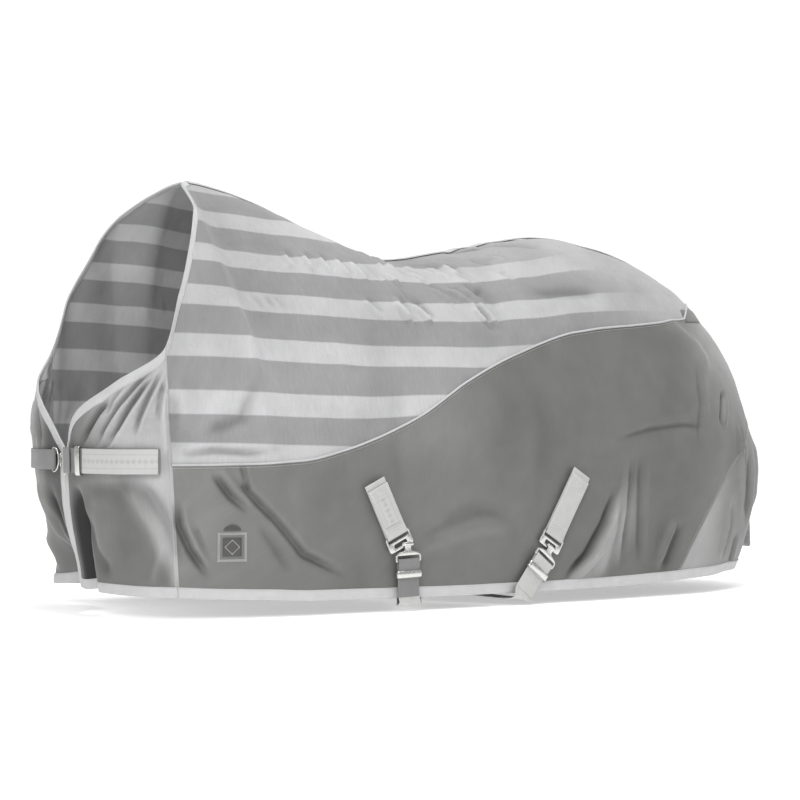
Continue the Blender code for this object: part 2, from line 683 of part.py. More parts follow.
patch = [chest_point(u, CHEST_Z, CHEST_OFF + 0.5 * WEBBING_THICK + 0.0012) for u in (2.6, 2.3, 2.0, 1.75)]
tube_free("chest_strap_label", patch, [UP] * 4, 0.8 * WEBBING_WIDTH, PATCH_THICK, "label")
keeper("chest_strap_slider", slider_frame, 0.0, CHEST_OFF - 0.0026, CHEST_OFF + 0.0044, WEBBING_WIDTH)
right_u = du_of(0.3, 0.3, 0.027)
right_chest = chest_frame(right_u, -1)
ring = []
for k in range(11):
    angle = math.pi * (0.5 + k / 10)
    ring.append(local(right_chest, 0.015 * math.cos(angle), 0.024 * math.sin(angle), CHEST_OFF + TURN))
tube("chest_ring", ring, 0.0016, "steel", True, 1)
right_fold = fold(right_chest, 0.0, 0.030, 0.034, CHEST_OFF, -1)
right_body = [chest_point(u, CHEST_Z, CHEST_OFF) * np.array([1.0, -1.0, 1.0]) for u in (2.2, 1.9, 1.6, 1.3)]
path = [*right_body, *right_fold]
tilt = right_chest[2] * math.copysign(1.0, right_chest[2][2])
dirs = [*[UP] * len(right_body), *[tilt] * len(right_fold)]
tube_free("chest_ring_strap", path, dirs, 0.040, WEBBING_THICK, "webbing")

# Tail flap, over the seam at the end of the spine
FLAP_TOP, FLAP_BOTTOM = -0.318 * DROP_SCALE, -0.632 * DROP_SCALE
FLAP_X = 0.930 * LENGTH_SCALE


def flap_grid():
    rows = []
    for z_share in (0.0, 0.2, 0.4, 0.6, 0.8, None, 1.0):
        share = 1.0 - BINDING_WIDTH / (FLAP_TOP - FLAP_BOTTOM) if z_share is None else z_share
        half = (0.072 + 0.040 * share) * WIDTH_SCALE
        z = FLAP_TOP + share * (FLAP_BOTTOM - FLAP_TOP)
        x = FLAP_X + 0.008 * math.sin(math.pi * 0.8 * share)
        inset = half - BINDING_WIDTH
        ys = (-half, -inset, -inset + 0.004, -0.02, 0.02, inset - 0.004, inset, half)
        rows.append([(x - 0.6 * y * y, y, z) for y in ys])
    return np.array(rows)


FLAP = flap_grid()
shell("tail_flap", FLAP, CLOTH, "mesh")
binding(1, "tail_flap_left_binding", FLAP[1:, 0], FLAP[1:, 1], 0)
binding(1, "tail_flap_right_binding", FLAP[1:, -1], FLAP[1:, -2], 3)
binding(1, "tail_flap_bottom_binding", FLAP[-1, 2:-2], FLAP[-2, 2:-2], 3)

# Spine tape, eyelets and emblem patch
TAPE_OFF = 0.5 * CLOTH + 0.0034
rows = []
for u in (7.1, *np.arange(7.5, 17.0, 0.5)):
    edge = lifted(u, dv_of(u, 0.03, 0.011), TAPE_OFF)
    middle = surface(u, 0.0) * np.array([1.0, 0.0, 1.0])
    up = normal(u, 0.02) * np.array([1.0, 0.0, 1.0])
    middle = middle + up / np.linalg.norm(up) * TAPE_OFF
    rows.append([edge, middle, edge * np.array([1.0, -1.0, 1.0])])
shell("spine_tape", rows, 0.0012, "binding")
for side, word in SIDES:
    frame = frame_at(0.742 * LENGTH_SCALE, -0.145 * DROP_SCALE, (0.0, 0.0, -1.0))
    eyelet = []
    for k in range(12):
        angle = 2 * math.pi * k / 12
        eyelet.append(local(frame, 0.0062 * math.cos(angle), 0.0062 * math.sin(angle), 0.5 * CLOTH + 0.0022))
    tube(word + "_rear_eyelet", mirrored(eyelet, side), 0.0014, "steel", True, 0)
EMBLEM_X, EMBLEM_Z, EMBLEM_HALF = -0.548, -0.582, 0.028
rows = []
for z in (EMBLEM_Z + EMBLEM_HALF, EMBLEM_Z, EMBLEM_Z - EMBLEM_HALF):
    row = []
    for x in (EMBLEM_X - EMBLEM_HALF, EMBLEM_X, EMBLEM_X + EMBLEM_HALF):
        row.append(local(frame_at(x, z, (0.0, 0.0, -1.0)), 0.0, 0.0, 0.5 * CLOTH + 0.0012))
    rows.append(row)
shell("emblem_patch", rows, PATCH_THICK, "label")
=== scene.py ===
"""A fly sheet dressed for looks: striped knitted mesh, satin-faced skirts, bound edges, webbing and steel.

Metres, +Z up, in the frame of the CAD model. The horse would face -X and its left side is -Y. Every
cloth piece lies on one surface, SheetShape, and is moved off it by the folds and crumples of Relief.
"""

from __future__ import annotations

import logging
import math
from dataclasses import dataclass, field
from enum import Enum

import bmesh
import bpy
import numpy as np
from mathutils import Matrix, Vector


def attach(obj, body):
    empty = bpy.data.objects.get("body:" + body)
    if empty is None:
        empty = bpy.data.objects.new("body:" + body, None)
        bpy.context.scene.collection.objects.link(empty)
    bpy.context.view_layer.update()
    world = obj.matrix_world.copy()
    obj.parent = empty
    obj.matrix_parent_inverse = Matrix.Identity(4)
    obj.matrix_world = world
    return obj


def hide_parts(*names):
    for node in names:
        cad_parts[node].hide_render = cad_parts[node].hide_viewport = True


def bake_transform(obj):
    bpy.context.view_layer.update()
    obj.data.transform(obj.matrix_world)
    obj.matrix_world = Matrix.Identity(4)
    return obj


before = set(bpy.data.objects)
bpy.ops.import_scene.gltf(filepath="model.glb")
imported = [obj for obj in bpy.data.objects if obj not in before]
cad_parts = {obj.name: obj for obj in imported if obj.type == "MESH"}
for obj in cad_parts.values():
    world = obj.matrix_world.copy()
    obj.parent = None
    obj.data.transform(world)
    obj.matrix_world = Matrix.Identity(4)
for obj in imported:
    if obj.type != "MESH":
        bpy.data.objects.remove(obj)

LOG = logging.getLogger("fly_sheet")
Array = np.ndarray
MM = 0.001

# One row per station, from the front closure to the rear edge: the point on the top edge, the point
# on the hem, and the handles of the curve between them, each as x, half width and z.
STATIONS = (
    (-0.760, 0.003, -0.395, -0.728, 0.003, -0.676, -0.004, 0.000, -0.090, -0.020, 0.000, 0.100),
    (-0.772, 0.070, -0.322, -0.740, 0.075, -0.680, -0.008, 0.008, -0.120, -0.022, 0.004, 0.130),
    (-0.742, 0.175, -0.262, -0.712, 0.175, -0.683, -0.012, 0.016, -0.140, -0.014, 0.012, 0.150),
    (-0.672, 0.250, -0.195, -0.648, 0.256, -0.686, 0.0080, 0.0020, -0.1637, -0.0080, -0.0020, 0.1637),
    (-0.637, 0.244, -0.088, -0.575, 0.284, -0.690, 0.000, 0.040, -0.100, -0.008, 0.008, 0.280),
    (-0.594, 0.208, 0.010, -0.510, 0.302, -0.692, 0.000, 0.055, -0.070, 0.000, 0.014, 0.350),
    (-0.558, 0.160, 0.083, -0.455, 0.312, -0.694, 0.000, 0.090, -0.070, 0.000, 0.020, 0.400),
    (-0.490, 0.003, 0.152, -0.400, 0.318, -0.697, 0.000, 0.150, -0.050, 0.000, 0.028, 0.430),
    (-0.360, 0.003, 0.121, -0.280, 0.325, -0.699, 0.000, 0.190, -0.030, 0.000, 0.028, 0.450),
    (-0.190, 0.003, 0.053, -0.140, 0.328, -0.700, 0.000, 0.240, -0.012, 0.000, 0.026, 0.460),
    (-0.020, 0.003, 0.002, 0.000, 0.328, -0.701, 0.000, 0.260, -0.005, 0.000, 0.026, 0.460),
    (0.160, 0.003, 0.026, 0.140, 0.322, -0.701, 0.000, 0.250, -0.005, 0.000, 0.028, 0.460),
    (0.380, 0.003, 0.060, 0.300, 0.312, -0.700, 0.000, 0.220, -0.006, 0.000, 0.028, 0.460),
    (0.560, 0.003, 0.038, 0.450, 0.300, -0.698, 0.000, 0.200, -0.012, 0.000, 0.030, 0.440),
    (0.720, 0.003, -0.022, 0.580, 0.282, -0.694, 0.000, 0.180, -0.030, 0.020, 0.030, 0.400),
    (0.830, 0.003, -0.105, 0.680, 0.255, -0.690, 0.010, 0.170, -0.060, 0.050, 0.030, 0.330),
    (0.900, 0.003, -0.200, 0.760, 0.220, -0.686, 0.015, 0.130, -0.060, 0.070, 0.030, 0.260),
    (0.915, 0.003, -0.290, 0.814, 0.190, -0.684, 0.000, 0.120, -0.020, 0.082, 0.042, 0.220),
    (0.912, 0.050, -0.350, 0.872, 0.115, -0.672, 0.008, 0.004, -0.090, 0.032, 0.000, 0.120),
)
SHOULDER, PEAK, SEAM_END, REAR = 3.0, 7.0, 15.0, 18.0
SEAM_X = (-0.66, -0.52, -0.395, -0.31, -0.22, -0.12, 0.006, 0.14, 0.32, 0.52, 0.75, 0.84)
SEAM_Z = (-0.421, -0.420, -0.415, -0.398, -0.370, -0.328, -0.258, -0.202, -0.152, -0.132, -0.115, -0.112)
GUSSET_SHARE = (0.0, 0.25, 0.5, 0.75, 1.0)
GUSSET_U = (17.33, 17.0, 16.3, 15.2, 13.9)


class Side(Enum):
    """The half of the sheet that a piece belongs to; the value mirrors its Y."""

    LEFT = 1
    RIGHT = -1

    @property
    def word(self) -> str:
        """The side's name as the nodes spell it."""
        return self.name.lower()


def hermite(xs: Array, ys: Array, at: Array) -> Array:
    """A smooth curve through knots that never overshoots them.

    Args:
        xs: Rising knot positions.
        ys: Knot values, one row per knot.
        at: Where to read the curve.

    Returns:
        One row of values per position in at.
    """
    xs, ys, at = np.asarray(xs, float), np.asarray(ys, float), np.asarray(at, float)
    flat = ys.reshape(len(xs), -1)
    steps = np.diff(flat, axis=0) / np.diff(xs)[:, None]
    before, after = steps[:-1], steps[1:]
    same = before * after > 0
    inner = np.where(same, 2 * before * after / np.where(same, before + after, 1.0), 0.0)
    rates = np.concatenate([steps[:1], inner, steps[-1:]])
    here = np.clip(at.ravel(), xs[0], xs[-1])
    i = np.clip(np.searchsorted(xs, here, side="right") - 1, 0, len(xs) - 2)
    span = (xs[i + 1] - xs[i])[:, None]
    t = (here[:, None] - xs[i][:, None]) / span
    value = (1 + 2 * t) * (1 - t) ** 2 * flat[i] + t * (1 - t) ** 2 * span * rates[i]
    value += t * t * (3 - 2 * t) * flat[i + 1] + t * t * (t - 1) * span * rates[i + 1]
    return value.reshape(at.shape + ys.shape[1:])


def unit(vectors: Array) -> Array:
    """The same vectors at length one."""
    return vectors / np.maximum(np.linalg.norm(vectors, axis=-1, keepdims=True), 1e-12)


def step(low: float, high: float, value: Array) -> Array:
    """0 below low, 1 above high, and a smooth rise between."""
    t = np.clip((np.asarray(value, float) - low) / (high - low), 0.0, 1.0)
    return t * t * (3 - 2 * t)


HEM_RISE = 8.0 * MM  # the cloth is drawn up a little at the hem by its tape


class SheetShape:
    """The smooth surface of the left half of the sheet, without its folds."""

    def __init__(self) -> None:
        """Reads the stations and tabulates the height of the swooping seam."""
        self.knots = np.arange(len(STATIONS), dtype=float)
        self.rows = np.array(STATIONS)
        self.seam_u = np.linspace(2.0, SEAM_END, 261)
        self.seam_share = self._seam(self.seam_u)
        u, v = np.meshgrid(np.linspace(3.1, 16.5, 180), np.linspace(0.02, 0.99, 80))
        self.net_u, self.net_v = u.ravel(), v.ravel()
        self.net = self.point(self.net_u, self.net_v)[:, [0, 2]]

    def point(self, u: Array, v: Array) -> Array:
        """The point at station u, v = 0 at the top edge and 1 at the hem."""
        u, v = np.broadcast_arrays(np.asarray(u, float), np.asarray(v, float))
        row = hermite(self.knots, self.rows, u)
        top, hem = row[..., 0:3], row[..., 3:6] + np.array([0.0, 0.0, HEM_RISE])
        b, c = top + row[..., 6:9], hem + row[..., 9:12]
        t = v[..., None]
        w = 1 - t
        found = w**3 * top + 3 * w * w * t * b + 3 * w * t * t * c + t**3 * hem
        return found * np.array([1.0, -1.0, 1.0])

    def out(self, u: Array, v: Array) -> Array:
        """The unit normal that points away from the horse."""
        u, v = np.broadcast_arrays(np.asarray(u, float), np.asarray(v, float))
        along = self.point(np.minimum(u + 0.02, REAR), v) - self.point(np.maximum(u - 0.02, 0.0), v)
        down = self.point(u, np.minimum(v + 0.01, 1.0)) - self.point(u, np.maximum(v - 0.01, 0.0))
        out = unit(np.cross(down, along))
        here = self.point(u, v)
        inside = np.stack([np.clip(here[..., 0], -0.45, 0.60), 0 * u, here[..., 2] - 0.12], axis=-1)
        inside[..., 2] = np.where(v > 0.35, here[..., 2], inside[..., 2])
        turned = np.sum(out * (here - inside), axis=-1) < 0
        return np.where(turned[..., None], -out, out)

    def dv(self, u: Array, v: Array, dist: float) -> Array:
        """The step in v that covers a distance down the sheet."""
        v = np.clip(v, 0.006, 0.994)
        return dist * 0.01 / np.linalg.norm(self.point(u, v + 0.005) - self.point(u, v - 0.005), axis=-1)

    def du(self, u: Array, v: Array, dist: float) -> Array:
        """The step in u that covers a distance along the sheet."""
        u = np.clip(u, 0.01, REAR - 0.01)
        return dist * 0.01 / np.linalg.norm(self.point(u + 0.005, v) - self.point(u - 0.005, v), axis=-1)

    def at_height(self, u: Array, z: Array) -> Array:
        """v where the curve at station u passes height z."""
        u, z = np.broadcast_arrays(np.asarray(u, float), np.asarray(z, float))
        low, high = np.zeros(u.shape), np.ones(u.shape)
        for _ in range(30):
            middle = (low + high) / 2
            above = self.point(u, middle)[..., 2] > z
            low, high = np.where(above, middle, low), np.where(above, high, middle)
        return (low + high) / 2

    def _seam(self, u: Array) -> Array:
        """v of the swooping seam, worked out station by station."""
        v = np.full(u.shape, 0.3)
        for _ in range(25):
            v = 0.5 * v + 0.5 * self.at_height(u, hermite(SEAM_X, SEAM_Z, self.point(u, v)[..., 0]))
        return v * np.clip(SEAM_END - u, 0.0, 1.0)

    def seam(self, u: Array) -> Array:
        """v of the swooping seam between mesh and skirt; 0 where it has met the spine."""
        return np.interp(u, self.seam_u, self.seam_share)

    def place(self, x: float, z: float) -> tuple[float, float]:
        """The station and share of the side point at (x, z)."""
        aim = np.array([x, z])
        nearest = int(np.argmin(np.sum((self.net - aim) ** 2, axis=-1)))
        u, v = self.net_u[nearest], self.net_v[nearest]
        for _ in range(6):
            here = self.point(u, v)[[0, 2]]
            slope = np.stack([self.point(u + 0.002, v)[[0, 2]] - here,
                              self.point(u, v + 0.002)[[0, 2]] - here], axis=1)
            move = np.linalg.solve(slope / 0.002, aim - here)
            u, v = float(np.clip(u + move[0], 3.1, 16.5)), float(np.clip(v + move[1], 0.0, 0.998))
        return u, v


SHAPE = SheetShape()


@dataclass(frozen=True)
class Fold:
    """One crease in the cloth, along a line of (u, v) places.

    A positive height stands out from the horse. The valley is the share of that height by which the
    cloth dips beside it, as cloth does where a ridge has gathered it.
    """

    path: tuple[tuple[float, float], ...]
    width: float
    height: float
    valley: float = 0.5

    def relief(self, points: Array) -> Array:
        """How far the fold moves each point along its normal, in metres."""
        u, v = np.array(self.path).T
        line, outs = SHAPE.point(u, v), SHAPE.out(u, v)
        best = np.full(points.shape[:-1], 1e9)
        found = np.zeros(points.shape[:-1])
        total = np.sum(np.linalg.norm(np.diff(line, axis=0), axis=1))
        run = 0.0
        for a, b, out in zip(line[:-1], line[1:], outs[:-1]):
            length = np.linalg.norm(b - a)
            along = (b - a) / length
            side = unit(np.cross(out, along))
            t = np.clip((points - a) @ along, 0.0, length)
            off = points - a - t[..., None] * along
            dist = np.linalg.norm(off, axis=-1)
            across = np.sign(off @ side) * dist
            w = self.width * MM
            shape = np.exp(-((dist / w) ** 2)) - self.valley * np.exp(-(((across - 1.9 * w) / w) ** 2))
            share = (run + t) / total
            taper = step(0.0, 0.28, share) * step(0.0, 0.28, 1.0 - share)
            nearer = dist < best
            found = np.where(nearer, self.height * MM * shape * taper, found)
            best = np.minimum(best, dist)
            run += length
        return found


# Creases of the near side: (u, v) places, half width and height in mm, and the share of the dip
PLEATS = (
    Fold(((2.82, 0.02), (2.42, 0.055), (2.08, 0.115), (1.64, 0.22), (1.40, 0.28)), 4.6, -15.0, 0.5),
    Fold(((2.76, 0.04), (2.30, 0.14), (2.04, 0.22), (1.75, 0.28), (1.55, 0.34)), 5.0, -17.0, 0.6),
    Fold(((1.90, 0.05), (1.65, 0.08), (1.36, 0.15), (1.00, 0.23)), 8.0, -20.0, 0.3),
    Fold(((2.90, 0.06), (2.60, 0.13), (2.44, 0.20), (2.30, 0.29)), 4.4, -12.0, 0.7),
    Fold(((2.93, 0.10), (2.80, 0.17), (2.72, 0.26)), 4.2, -8.0, 0.6),
    Fold(((2.20, 0.03), (1.95, 0.07), (1.80, 0.13)), 4.2, -8.0, 0.5),
    Fold(((2.91, 0.14), (2.86, 0.28), (2.84, 0.42)), 9.0, 9.5, 0.4),
    Fold(((2.02, 0.44), (2.26, 0.56), (2.60, 0.72), (2.86, 0.90)), 15.0, 15.0, 0.7),
    Fold(((2.84, 0.76), (2.60, 0.88), (2.50, 0.97)), 11.0, 9.5, 0.5),
    Fold(((1.10, 0.55), (1.30, 0.75), (1.60, 0.95)), 16.0, -9.5, 0.0),
    Fold(((0.80, 0.34), (0.84, 0.60), (0.90, 0.84), (0.96, 1.22)), 17.0, -36.0, 0.0),
    Fold(((1.60, 0.42), (1.56, 0.60), (1.50, 0.90)), 26.0, 9.5, 0.3),
)
MESH_FOLDS = (
    Fold(((7.00, 0.455), (7.12, 0.49)), 5.0, -2.0, 0.5),
    Fold(((7.24, 0.455), (7.36, 0.49)), 5.0, -2.0, 0.6),
    Fold(((7.42, 0.455), (7.52, 0.49)), 5.0, -2.0, 0.5),
    Fold(((7.86, 0.32), (7.94, 0.38)), 6.0, 5.5, 0.6),
    Fold(((8.14, 0.31), (8.22, 0.38)), 6.0, 7.0, 0.6),
    Fold(((8.38, 0.30), (8.48, 0.37)), 6.0, 6.5, 0.6),
    Fold(((8.62, 0.29), (8.78, 0.36)), 6.0, 6.5, 0.6),
    Fold(((8.88, 0.27), (9.02, 0.35)), 6.0, 6.5, 0.6),
    Fold(((8.78, 0.42), (8.98, 0.47)), 6.0, 5.5, 0.6),
    Fold(((9.26, 0.40), (9.42, 0.46)), 6.0, 6.5, 0.6),
    Fold(((9.58, 0.38), (9.78, 0.45)), 7.0, 7.0, 0.6),
    Fold(((10.9, 0.012), (11.10, 0.03), (11.35, 0.06)), 7.0, -14.5, 0.4),
    Fold(((11.25, 0.02), (11.5, 0.06), (11.9, 0.17)), 12.0, -6.5, 0.5),
    Fold(((3.9, 0.55), (4.3, 0.59), (5.2, 0.64), (6.1, 0.60)), 12.0, -9.0, 0.5),
    Fold(((3.6, 0.50), (4.2, 0.53), (5.0, 0.56)), 18.0, 6.5, 0.0),
    Fold(((3.05, 0.42), (3.6, 0.55), (4.2, 0.64), (5.24, 0.715), (6.8, 0.755)), 6.5, -10.5, 0.3),
    Fold(((11.3, 0.37), (11.9, 0.39), (12.5, 0.38)), 13.0, -6.5, 0.2),
    Fold(((3.35, 0.20), (3.5, 0.32), (3.52, 0.46)), 14.0, 5.5, 0.4),
    Fold(((5.9, 0.36), (6.1, 0.50), (6.0, 0.62)), 26.0, 5.0, 0.0),
    Fold(((8.2, 0.50), (8.1, 0.62), (8.3, 0.72)), 22.0, 4.0, 0.0),
)
SKIRT_FOLDS = (
    Fold(((3.06, 0.60), (3.12, 0.72), (3.36, 0.84), (3.9, 0.96)), 8.0, -14.5, 0.6),
    Fold(((3.4, 0.74), (3.62, 0.84), (4.0, 0.93)), 7.0, -7.0, 0.4),
    Fold(((4.05, 0.68), (4.52, 0.78), (5.08, 0.84)), 8.0, -12.5, 0.6),
    Fold(((4.44, 0.71), (5.12, 0.80), (5.96, 0.865), (7.0, 0.93), (7.9, 0.97)), 8.0, -11.0, 0.4),
    Fold(((4.95, 0.72), (5.0, 0.77), (5.02, 0.80)), 6.0, -7.0, 0.3),
    Fold(((5.2, 0.85), (5.9, 0.91), (6.6, 0.96)), 12.0, -7.0, 0.4),
    Fold(((8.95, 0.935), (9.6, 0.91), (10.1, 0.895), (10.8, 0.90)), 14.0, 7.0, 0.6),
    Fold(((9.3, 0.88), (10.0, 0.86), (10.6, 0.87)), 16.0, -4.5, 0.0),
    Fold(((12.55, 0.83), (12.30, 0.90), (12.02, 0.95), (11.6, 0.99)), 9.0, -16.0, 0.9),
    Fold(((12.50, 0.88), (12.34, 0.94), (12.2, 0.99)), 16.0, 11.0, 0.3),
    Fold(((12.70, 0.76), (12.66, 0.87), (12.55, 0.98)), 8.0, 10.0, 0.6),
    Fold(((12.98, 0.76), (13.02, 0.86), (13.0, 0.97)), 8.0, -8.0, 0.4),
    Fold(((13.82, 0.88), (13.62, 0.93), (13.42, 0.98)), 11.0, 12.5, 0.7),
    Fold(((12.40, 0.75), (13.16, 0.715), (13.9, 0.68), (14.5, 0.655)), 6.5, -6.5, 0.3),
    Fold(((13.5, 0.40), (14.08, 0.43), (14.6, 0.47)), 24.0, 12.5, 0.0),
    Fold(((14.15, 0.47), (14.3, 0.60), (14.2, 0.72)), 9.0, -5.5, 0.4),
    Fold(((11.2, 0.60), (11.3, 0.72), (11.2, 0.85)), 26.0, -4.5, 0.0),
    Fold(((8.9, 0.62), (8.8, 0.74), (8.7, 0.84)), 22.0, -4.5, 0.0),
    Fold(((6.9, 0.79), (6.9, 0.85), (6.8, 0.93)), 18.0, 4.5, 0.0),
)
REAR_FOLDS = (
    Fold(((14.95, 0.47), (14.9, 0.55), (14.86, 0.62)), 7.0, -13.0, 0.4),
    Fold(((15.5, 0.52), (15.8, 0.66), (16.2, 0.84)), 9.0, 9.5, 0.7),
    Fold(((16.3, 0.55), (16.5, 0.70), (16.7, 0.86)), 8.0, -9.5, 0.4),
    Fold(((16.9, 0.40), (17.1, 0.58), (17.2, 0.80)), 10.0, 9.5, 0.6),
    Fold(((15.4, 0.80), (15.5, 0.88), (15.4, 0.97)), 9.0, 8.0, 0.6),
    Fold(((16.2, 0.88), (16.3, 0.95), (16.3, 0.99)), 7.0, -6.5, 0.3),
    Fold(((17.55, 0.30), (17.6, 0.50), (17.5, 0.75)), 9.0, -8.0, 0.5),
)
STRAP_Z = -0.414  # height of the chest strap's middle
DEEPEST, HIGHEST = -0.036, 0.019  # how far folds may go in and out, metres
FOLD_SCALE = 10.0 * MM  # relief that counts as one full fold for the cloth's shading
# Painted shade in fold hollows and painted highlight on fold ridges, per full fold, each with its limit
HOLLOW_SHADE, HOLLOW_LIMIT = 0.30, 2.5
RIDGE_HIGHLIGHT, RIDGE_LIMIT = 0.14, 1.3
TUCK_UPPER, TUCK_LOWER = 0.052, 0.046  # how far the far front's corner is drawn back, metres
FAR_STRIPES = 0.024  # how much lower the far side's bands lie in front, metres
# Lines that rigid fittings lie along, as (x, z) on the side, and how near the cloth lies flat
FLAT_LINES = (((-0.243, -0.458), (-0.186, -0.700)), ((0.285, -0.448), (0.110, -0.700)),
              ((-0.548, -0.61), (-0.548, -0.55)))


def short_folds(seed: int, count: int, u_range: tuple[float, float],
                v_range: tuple[float, float]) -> list[Fold]:
    """Many short slanting wrinkles, as knitted cloth makes where it lies slack over the back.

    Args:
        seed: Fixes the arrangement.
        count: How many.
        u_range: Stations that they start between.
        v_range: Shares that they start between.

    Returns:
        The folds.
    """
    pick = np.random.default_rng(seed)
    made = []
    for _ in range(count):
        u, v = pick.uniform(*u_range), pick.uniform(*v_range)
        length = pick.uniform(0.6, 1.3)
        bend = pick.uniform(-0.04, 0.06)
        path = ((u, v), (u + 0.09 * length + bend, v + 0.045 * length),
                (u + 0.2 * length, v + 0.085 * length))
        sign = 1.0 if pick.random() < 0.6 else -1.0
        made.append(Fold(path, pick.uniform(4.5, 7.5), sign * pick.uniform(3.2, 6.4), sign * 0.6))
    return made


class Relief:
    """How far the cloth of one side stands off its smooth surface: folds, slack waves and crumples."""

    def __init__(self, side: Side) -> None:
        """Gathers that side's folds; the far side has its own arrangement of the same kinds."""
        self.side = side
        self.seed = 3 if side is Side.LEFT else 11
        folds = [*PLEATS, *MESH_FOLDS, *SKIRT_FOLDS, *REAR_FOLDS]
        folds += short_folds(self.seed, 34, (9.1, 11.2), (0.07, 0.33))
        folds += short_folds(self.seed + 1, 8, (9.0, 10.6), (0.34, 0.42))
        if side is Side.RIGHT:
            pick = np.random.default_rng(8)
            moved = []
            for fold in folds:
                shift, size = pick.uniform(-0.25, 0.25), pick.uniform(0.55, 1.05)
                path = tuple((min(max(u + (shift if 3.5 < u < 14.5 else 0.0), 0.05), 17.9), v) for u,
                             v in fold.path)
                moved.append(Fold(path, fold.width * 1.1, fold.height * size, fold.valley))
            folds = moved
        self.folds = folds
        pick = np.random.default_rng(self.seed + 20)
        self.waves = []
        for length, height, count in ((0.30, 1.3, 5), (0.13, 0.75, 7), (0.055, 0.28, 9), (0.026, 0.10, 9)):
            for _ in range(count):
                way = unit(pick.normal(size=3) * np.array([1.3, 0.7, 0.8]))
                rate = 2 * math.pi / (length * pick.uniform(0.75, 1.3))
                self.waves.append((way * rate, pick.uniform(0, 2 * math.pi),
                                   height * MM / math.sqrt(count) * 1.5))
        self.drape = [(pick.uniform(14, 30), pick.uniform(0, 6.28), pick.uniform(0.6, 1.4)) for _ in range(5)]

    def folded(self, u: Array, v: Array) -> Array:
        """The distance off the smooth surface at each place, in metres.

        Args:
            u: Stations.
            v: Shares of the way down.

        Returns:
            An array of the same shape.
        """
        u, v = np.broadcast_arrays(np.asarray(u, float), np.asarray(v, float))
        points = SHAPE.point(u, v)
        total = np.zeros(u.shape)
        for fold in self.folds:
            line = SHAPE.point(*np.array(fold.path).T)
            reach = 4.5 * fold.width * MM
            low, high = line.min(axis=0) - reach, line.max(axis=0) + reach
            near = np.all((points > low) & (points < high), axis=-1)
            if near.any():
                total[near] += fold.relief(points[near])
        for rate, phase, height in self.waves:
            total += height * np.sin(points @ rate + phase)
        hang = step(0.55, 1.0, v) * 2.2 * MM
        for rate, phase, height in self.drape:
            total += hang * height * np.sin(points[..., 0] * rate + phase) * 0.5
        for (x0, z0), (x1, z1) in FLAT_LINES:
            ends = np.array([[x0, z0], [x1, z1]])
            span = ends[1] - ends[0]
            place = points[..., [0, 2]] - ends[0]
            t = np.clip(place @ span / (span @ span), 0.0, 1.0)
            dist = np.linalg.norm(place - t[..., None] * span, axis=-1)
            total *= 0.12 + 0.88 * step(0.030, 0.075, dist)
        strap = step(2.95, 2.75, u) * step(0.062, 0.034, np.abs(points[..., 2] - STRAP_Z))
        total = total * (1.0 - 0.7 * strap)
        total = np.where(strap > 0.5, np.minimum(total, 3.0 * MM), total)
        spine = np.where(u >= PEAK, np.linalg.norm(points - SHAPE.point(u, 0 * v), axis=-1), 1.0)
        total *= step(0.0, 0.022, spine)
        return np.clip(total, DEEPEST, HIGHEST)

    def at(self, u: Array, v: Array) -> Array:
        """The distance off the smooth surface, with the far front's lower corner tucked back.

        Args:
            u: Stations.
            v: Shares of the way down.

        Returns:
            An array of the same shape.
        """
        total = self.folded(u, v)
        if self.side is Side.RIGHT:
            tuck = TUCK_UPPER * step(0.42, 1.0, v) + TUCK_LOWER * step(0.72, 1.0, v)
            total = total - tuck * step(-0.2, 0.8, u) * (1.0 - step(2.0, 2.9, u))
        return total


@dataclass
class Drape:
    """One side of the sheet with its folds: places on it, normals and offsets."""

    side: Side
    relief: Relief = field(init=False)

    def __post_init__(self) -> None:
        """Makes the side's relief."""
        self.relief = Relief(self.side)

    @property
    def flip(self) -> Array:
        """Turns left-side points into this side's."""
        return np.array([1.0, float(self.side.value), 1.0])

    def raw(self, u: Array, v: Array) -> Array:
        """Folded points, before the side is taken."""
        return SHAPE.point(u, v) + SHAPE.out(u, v) * self.relief.at(u, v)[..., None]

    def point(self, u: Array, v: Array, off: float | Array = 0.0) -> Array:
        """Folded points at a height off the cloth, on this side."""
        off = np.asarray(off, float)
        return (self.raw(u, v) + SHAPE.out(u, v) * (off[..., None] if off.ndim else off)) * self.flip


LEFT, RIGHT = Drape(Side.LEFT), Drape(Side.RIGHT)
DRAPES = (LEFT, RIGHT)


# ---- materials


def srgb(text: str) -> tuple[float, float, float, float]:
    """Turns an sRGB hex colour into linear RGBA.

    Args:
        text: Six hex digits after a hash.

    Returns:
        The linear colour with alpha 1.
    """
    parts = [int(text[i : i + 2], 16) / 255 for i in (1, 3, 5)]
    linear = [p / 12.92 if p <= 0.04045 else ((p + 0.055) / 1.055) ** 2.4 for p in parts]
    return (*linear, 1.0)


def add_node(tree: bpy.types.NodeTree, kind: str, settings: dict | None = None, inputs: dict | None = None,
             links: dict | None = None) -> bpy.types.Node:
    """Adds a node with its settings, its input values and the links into it.

    Args:
        tree: The material's node tree.
        kind: The node's type name.
        settings: Properties to set.
        inputs: Input values by name or number.
        links: Output sockets by the input that each one feeds.

    Returns:
        The node.
    """
    made = tree.nodes.new(kind)
    for key, value in (settings or {}).items():
        setattr(made, key, value)
    for key, value in (inputs or {}).items():
        made.inputs[key].default_value = value
    for key, source in (links or {}).items():
        tree.links.new(source, made.inputs[key])
    return made


